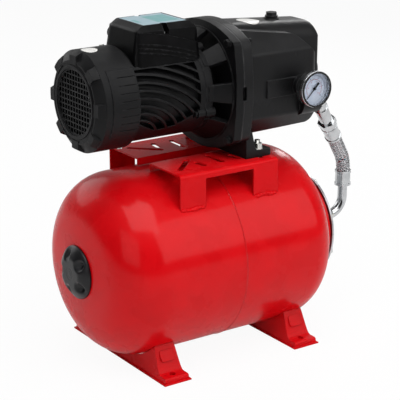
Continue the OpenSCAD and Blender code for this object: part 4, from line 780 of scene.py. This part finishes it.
for node, name in (("terminal_base", "box_base"), ("terminal_cover", "box_lid")):
    piece = copied(node, name, box_plastic)
    net = bmesh.new()
    net.from_mesh(piece.data)
    for length in longest_edges:
        long_edges = [e for e in net.edges if e.calc_length() > length]
        bmesh.ops.subdivide_edges(net, edges=long_edges, cuts=1, use_grid_fill=False)
        bmesh.ops.triangulate(net, faces=[f for f in net.faces if len(f.verts) > 3])
    for corner in box_corners:
        for vert in net.verts:
            vert.co = rounded_upright(vert.co, corner)
    net.to_mesh(piece.data)
    net.free()
    smoothed(piece.data, 28)

# Terminal block and capacitor: white moulded nylon, the block screwed down inside the box
# and the capacitor lying beside it.
white_moulding = clouded("white_moulding", (60.0, 4.0, 0.35, 0.7), (0.84, 0.85, 0.86, 1),
                         (0.76, 0.76, 0.74, 1), (0.32, 0.45), (900.0, 2.0), 0.00004,
                         Coat_Weight=0.3)
dress(white_moulding, "terminal_block", "capacitor")

# Rating label on the box lid: a bare printed film, pale blue with two teal fields and plain
# bars, stuck down flat.
label_low, label_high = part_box("label_plate")
film, tree, shader = new_surface("label_film", Coat_Weight=0.5, Coat_Roughness=0.12)


def within(tree, axis, low, high):
    """1 where a point lies between two shares of the label's length along an axis."""
    start, length = label_low[axis], label_high[axis] - label_low[axis]
    place = position_along(tree, axis)
    over = combined(tree, place, start + low * length, "GREATER_THAN")
    under = combined(tree, place, start + high * length, "LESS_THAN")
    return combined(tree, over, under)


def field(tree, x0, x1, y0, y1):
    """1 on a rectangle of the label, its sides as shares of the label's own."""
    return combined(tree, within(tree, 0, x0, x1), within(tree, 1, y0, y1))


teal_field = combined(tree, field(tree, 0.42, 0.94, 0.14, 0.84),
                      field(tree, 0.05, 0.14, 0.30, 0.62), "MAXIMUM")
bars = field(tree, 0.18, 0.38, 0.20, 0.28)
for low in (0.36, 0.47, 0.58):
    bars = combined(tree, bars, field(tree, 0.18, 0.40, low, low + 0.035), "MAXIMUM")
print_wear = ranged(tree, noise(tree, 90.0, 4.0), 0.3, 0.75)
paper = blended(tree, print_wear, (0.27, 0.42, 0.49, 1), (0.36, 0.50, 0.56, 1))
inked = blended(tree, teal_field, paper, (0.12, 0.36, 0.37, 1))
inked = blended(tree, combined(tree, bars, 0.55), inked, (0.30, 0.50, 0.58, 1))
feed(tree, shader, inked, ranged(tree, print_wear, 0, 1, 0.3, 0.42),
     height=noise(tree, 60.0, 2.0), depth=0.0002)
dress(film, "label_plate")


# Round stickers: two bare white discs of film, one on top of the pump body and one on the
# fan cover, pressed down on the surface.
def sticker_points(place_at, rings=5, around=40, thick=0.00018):
    """Points and faces of a thin round skin with a soft rim; place_at turns shares of its
    radius into a point and the way out of the surface there."""
    points, faces = [], []
    for lift in (thick, 0.0):
        for r in range(1, rings + 1):
            for k in range(around):
                turn = 2 * pi * k / around
                point, out = place_at(r / rings * cos(turn), r / rings * sin(turn))
                edge_drop = 0.4 * thick if lift and r == rings else 0
                points.append(tuple(point + out * (lift - edge_drop)))
    layer = rings * around
    for side in (0, 1):
        first = side * layer
        cap = tuple(first + k for k in range(around))
        faces.append(cap if side == 0 else tuple(reversed(cap)))
        for r in range(rings - 1):
            for k in range(around):
                a, b = first + r * around + k, first + r * around + (k + 1) % around
                quad = (a, a + around, b + around, b)
                faces.append(quad if side == 0 else tuple(reversed(quad)))
    rim = (rings - 1) * around
    for k in range(around):
        j = (k + 1) % around
        faces.append((rim + k, layer + rim + k, layer + rim + j, rim + j))
    return points, faces


white_film = clouded("white_film", (130.0, 5.0, 0.4, 0.75), (0.80, 0.79, 0.76, 1),
                     (0.64, 0.63, 0.61, 1), (0.34, 0.5), (300.0, 3.0), 0.00008,
                     Coat_Weight=0.4, Coat_Roughness=0.15)
pump_sticker_middle = Vector((0.088, -0.008, 0))
pump_sticker_radius = 0.017
top_start = Vector((top_from, 0, 0.481))
top_end = Vector((top_to, 0, 0.470))
top_slope = (top_end - top_start).normalized()
top_out = Vector((-top_slope.z, 0, top_slope.x))


def on_pump_top(across, along):
    """Place and way out on the hump's sloping top and its rounded edges."""
    x = pump_sticker_middle.x + across * pump_sticker_radius
    y = pump_sticker_middle.y + along * pump_sticker_radius
    reach = (x - top_start.x) / (top_end.x - top_start.x)
    past = min(top_bend, max(0.0, abs(y) - flat_half))
    drop = top_bend - sqrt(top_bend ** 2 - past ** 2)
    out = (top_out + Vector((0, copysign(past / top_bend, y), 0))).normalized()
    return Vector((x, y, top_start.z + reach * (top_end.z - top_start.z) - drop)), out


mesh_piece("pump_sticker", *sticker_points(on_pump_top), white_film, slot="white_plastic")

cover_axis_z = 0.393
cover_radius = 0.072
cover_sticker_x = -0.176
cover_sticker_turn = radians(94)
cover_sticker_radius = 0.0115


def on_fan_cover(across, along):
    """Place and way out on the fan cover's round back."""
    turn = cover_sticker_turn + along * cover_sticker_radius / cover_radius
    out = Vector((0, cos(turn), sin(turn)))
    x = cover_sticker_x + across * cover_sticker_radius
    return Vector((x, 0, cover_axis_z)) + out * cover_radius, out


mesh_piece("cover_sticker", *sticker_points(on_fan_cover), white_film, slot="white_plastic")

# Gauge: a pressed steel case with a chrome bezel, its front lip painted black as a painted dark
# reflection, flat glass, a white enamelled dial with printed arcs and plain numbers, and a thin
# black pointer. The elbow, the nuts, the ferrules and the bent tube are chromed like the case.
chrome = clouded("chrome", (60.0, 5.0, 0.4, 0.75), (0.56, 0.57, 0.58, 1), (0.46, 0.47, 0.48, 1),
                 (0.10, 0.22), (45.0, 2.0), 0.00012, edge=0.0006, Metallic=1.0)
dress(chrome, "gauge_case", "outlet_elbow", "hose_nut", "hose_ferrules", "tank_elbow", "elbow_nut")

bezel_with_painted_reflection, tree, shader = new_surface("bezel_with_painted_reflection", Coat_Weight=0.15, Coat_Roughness=0.08,
                                        Specular_IOR_Level=0.2)
edges = use_group(tree, soft_edges, {"Radius": 0.0005, "Patch Scale": 220.0})
cloud = ranged(tree, noise(tree, 90.0, 3.0), 0.35, 0.7)
# only the front lip is black, a painted dark reflection on the chrome; the side of the rim is left
# bright chrome
bezel_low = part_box("gauge_bezel")[0]
lip, lip_end = 0.0008, 0.0011
bright_side = ranged(tree, position_along(tree, 1), bezel_low.y + lip, bezel_low.y + lip_end)
# painted reflection: near-black colour on the chrome bezel's front lip stands in for the dark
# surroundings it mirrors
colour = blended(tree, cloud, (0.006, 0.006, 0.007, 1), (0.010, 0.010, 0.011, 1))
colour = blended(tree, edges["Rubbed"], colour, (0.10, 0.10, 0.10, 1))
feed(tree, shader, blended(tree, bright_side, colour, (0.66, 0.67, 0.69, 1)),
     ranged(tree, cloud, 0, 1, 0.22, 0.32), bright_side, height=noise(tree, 700.0), depth=0.00002,
     normal=edges["Normal"])
dress(bezel_with_painted_reflection, "gauge_bezel")

pointer_black = clouded("pointer_black", (400.0, 3.0, 0.35, 0.7), (0.008, 0.008, 0.010, 1),
                        (0.016, 0.016, 0.018, 1), (0.35, 0.5), (2000.0,), 0.00001,
                        Specular_IOR_Level=0.2)
dress(pointer_black, "gauge_pointer")

enamel = clouded("dial_enamel", (70.0, 4.0, 0.35, 0.7), (0.62, 0.67, 0.79, 1),
                 (0.68, 0.72, 0.82, 1), (0.35, 0.45), (500.0,), 0.00002, Coat_Weight=0.4)
dress(enamel, "gauge_dial")

gauge_glass, tree, shader = new_surface("gauge_glass", Transmission_Weight=1.0, IOR=1.1,
                                        Base_Color=(0.96, 0.98, 1.0, 1))
feed(tree, shader, roughness=ranged(tree, noise(tree, 80.0, 4.0), 0.4, 0.8, 0.0, 0.03),
     height=noise(tree, 40.0), depth=0.00001)
dress(gauge_glass, "gauge_lens")

dial_low, dial_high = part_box("gauge_dial")
dial_middle = Vector(((dial_low.x + dial_high.x) / 2, dial_low.y, (dial_low.z + dial_high.z) / 2))
print_lift = 0.0001
scale_start, scale_sweep = radians(225), radians(270)
outer_ring, inner_ring = 0.0196, 0.0132


def dial_point(radius, share):
    """A point on the dial at a radius and a share of the scale."""
    turn = scale_start - scale_sweep * share
    return dial_middle + Vector((radius * cos(turn), -print_lift, radius * sin(turn)))


def dial_patch(r0, r1, s0, s1, steps):
    """Corners of a stretch of ring, or of one tick, printed on the dial."""
    rows = [[dial_point(r, s0 + (s1 - s0) * k / steps) for r in (r0, r1)] for k in range(steps + 1)]
    points = [tuple(p) for row in rows for p in row]
    return points, [(2 * k, 2 * k + 1, 2 * k + 3, 2 * k + 2) for k in range(steps)]


def dial_print(name, ink, patches):
    """Printed marks as one thin piece."""
    marks = joined(dial_patch(*patch) for patch in patches)
    return mesh_piece(name, *marks, ink, smooth=False, slot="dial")


def dial_ink(name, colour):
    """Printing ink, a little uneven."""
    surface, tree, shader = new_surface(name)
    thin = ranged(tree, noise(tree, 900.0, 2.0), 0.3, 0.8)
    pale = tuple(0.7 * c + 0.1 for c in colour[:3]) + (1,)
    feed(tree, shader, blended(tree, thin, colour, pale), ranged(tree, thin, 0, 1, 0.4, 0.6))
    return surface


blue_ink = dial_ink("blue_ink", (0.03, 0.05, 0.14, 1))
red_ink = dial_ink("red_ink", (0.45, 0.05, 0.09, 1))
# half widths of the ticks are shares of the scale
tick_half, small_half = 0.0016, 0.0009
thin_arc, thick_arc, ring_steps = 0.00025, 0.0005, 60
long_tick, short_tick, red_tick = 0.0019, 0.0009, 0.0014
outer_marks = [(outer_ring, outer_ring + thin_arc, 0, 1, ring_steps)]
for parts, length, half in ((10, long_tick, tick_half), (50, short_tick, small_half)):
    outer_marks += [(outer_ring - length, outer_ring, k / parts - half, k / parts + half, 1)
                    for k in range(parts + 1)]
dial_print("dial_scale_blue", blue_ink, outer_marks)
inner_marks = [(inner_ring, inner_ring + thick_arc, 0, 1, ring_steps)]
inner_marks += [(inner_ring, inner_ring + red_tick, k / 15 - tick_half, k / 15 + tick_half, 1)
                for k in range(16)]
dial_print("dial_scale_red", red_ink, inner_marks)


def dial_number(words, radius, share, size, ink):
    """A plain number printed at a share of the scale."""
    curve = bpy.data.curves.new("dial_number_" + words, "FONT")
    curve.body, curve.size = words, size
    curve.align_x, curve.align_y = "CENTER", "CENTER"
    curve.materials.append(ink)
    number = placed(curve.name, curve)
    number.location = dial_point(radius, share)
    number.rotation_euler = (pi / 2, 0, 0)
    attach(number, "base")


blue_size, blue_inside = 0.0034, 0.0040
red_size, red_inside = 0.0022, 0.0028
for k in range(0, 11, 2):
    dial_number(str(k), outer_ring - blue_inside, k / 10, blue_size, blue_ink)
for k in range(6):
    dial_number(str(30 * k), inner_ring - red_inside, k / 5, red_size, red_ink)

# Braided hose: stainless wires plaited in two directions over a rubber liner, five wires to
# a carrier, some of them dyed red and blue over a short stretch near the lower end. It leaves
# the elbow on a slope and bends down to stand upright over the tank union.
elbow_middle = Vector((0.175, -0.064, 0.360))
upright_end = Vector((0.284, 0, 0.216))
bend = 0.042
hose_way = Vector((upright_end.x - elbow_middle.x, upright_end.y - elbow_middle.y, 0))
run = hose_way.length
hose_way.normalize()
drop = elbow_middle.z - upright_end.z
reach = hypot(run - bend, drop)
slope = atan2(run - bend, drop) + asin(bend / reach)
straight = sqrt(reach ** 2 - bend ** 2)
hose_outer = 0.011
wire_radius, weave_height = 0.00026, 0.00026
wire_ring = hose_outer - weave_height - wire_radius - 0.00005
wire_pitch = 2.15 * wire_radius
wire_lean = 0.9
liner_radius = wire_ring - weave_height
liner_every, liner_sides = 6, 32
carriers, wires = 12, 5
lay_length = 0.060
sink = 0.004
# the dyed stretch, measured up from the lower end
dyed_start, dyed_end = 0.040, 0.028
braid_start = 0.108 - sink
braid_end = straight + bend * slope + sink
across_hose = hose_way.cross(Vector((0, 0, 1)))


def hose_frame(s):
    """The hose's middle at a length from the elbow, the way out of its bend and the way on."""
    lean = slope
    if s > straight:
        lean = max(0.0, slope - (s - straight) / bend)
    out = hose_way * cos(lean) + Vector((0, 0, sin(lean)))
    if s <= straight:
        point = elbow_middle + (hose_way * sin(slope) - Vector((0, 0, cos(slope)))) * s
    else:
        point = upright_end - hose_way * bend + out * bend
        past = s - straight - bend * slope
        point = point - Vector((0, 0, max(0.0, past)))
    along = hose_way * sin(lean) - Vector((0, 0, cos(lean)))
    return point, out, along


braid_steel = clouded("braid_steel", (300.0, 3.0, 0.35, 0.7), (0.78, 0.78, 0.80, 1),
                      (0.66, 0.66, 0.68, 1), (0.16, 0.28), (2500.0,), 0.00002, Metallic=1.0)


def tracer_yarn(name, colour):
    """Coloured tracer wire in the braid, faded in patches."""
    faded = tuple(0.75 * c + 0.1 for c in colour[:3]) + (1,)
    return clouded(name, (500.0, 3.0, 0.35, 0.7), colour, faded, (0.35, 0.5), (2500.0,), 0.00002)


tracer_red = tracer_yarn("tracer_red", (0.45, 0.004, 0.02, 1))
tracer_blue = tracer_yarn("tracer_blue", (0.004, 0.14, 0.20, 1))
braid_step = 0.0006
steps = int((braid_end - braid_start) / braid_step)
rows = [hose_frame(braid_start + (braid_end - braid_start) * k / steps) for k in range(steps + 1)]


def wire(direction, carrier, number, first, last):
    """A stretch of one wire of the braid as rings of three points."""
    rings = []
    for k in range(first, last + 1):
        point, out, along = rows[k]
        s = (braid_end - braid_start) * k / steps
        turn = 2 * pi * (carrier / carriers + direction * s / lay_length)
        turn += direction * (number - (wires - 1) / 2) * wire_pitch / wire_ring
        height = direction * weave_height * cos(2 * pi * carriers * s / lay_length)
        radial = out * cos(turn) + across_hose * sin(turn)
        round_way = across_hose * cos(turn) - out * sin(turn)
        middle_point = point + radial * (wire_ring + height)
        side_way = (round_way - along * direction * wire_lean).normalized()
        rings.append([tuple(middle_point + radial * wire_radius),
                      tuple(middle_point - side_way * wire_radius - radial * wire_radius * 0.5),
                      tuple(middle_point + side_way * wire_radius - radial * wire_radius * 0.5)])
    return rings


yarns = {"steel": [], "red": [], "blue": []}
dyed_from = steps - int(dyed_start / braid_step)
dyed_to = steps - int(dyed_end / braid_step)
for direction in (1, -1):
    for carrier in range(carriers):
        for number in range(wires):
            stretches = [("steel", 0, steps)]
            if carrier % 4 == 1:
                ink = "red" if direction > 0 else "blue"
                stretches = [("steel", 0, dyed_from), (ink, dyed_from, dyed_to),
                             ("steel", dyed_to, steps)]
            for ink, first, last in stretches:
                yarns[ink].append(swept(wire(direction, carrier, number, first, last)))
braid = mesh_piece("braid_wires", *joined(yarns["steel"]), braid_steel, slot="chrome")
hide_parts("hose_braid")
mesh_piece("braid_tracer_red", *joined(yarns["red"]), tracer_red, slot="chrome")
mesh_piece("braid_tracer_blue", *joined(yarns["blue"]), tracer_blue, slot="chrome")

liner_rings = []
turns = [2 * pi * k / liner_sides for k in range(liner_sides)]
for point, out, along in rows[::liner_every] + [rows[-1]]:
    ways = [out * cos(t) + across_hose * sin(t) for t in turns]
    liner_rings.append([tuple(point + way * liner_radius) for way in ways])
mesh_piece("hose_liner", *swept(liner_rings), bag_rubber, slot="rubber")
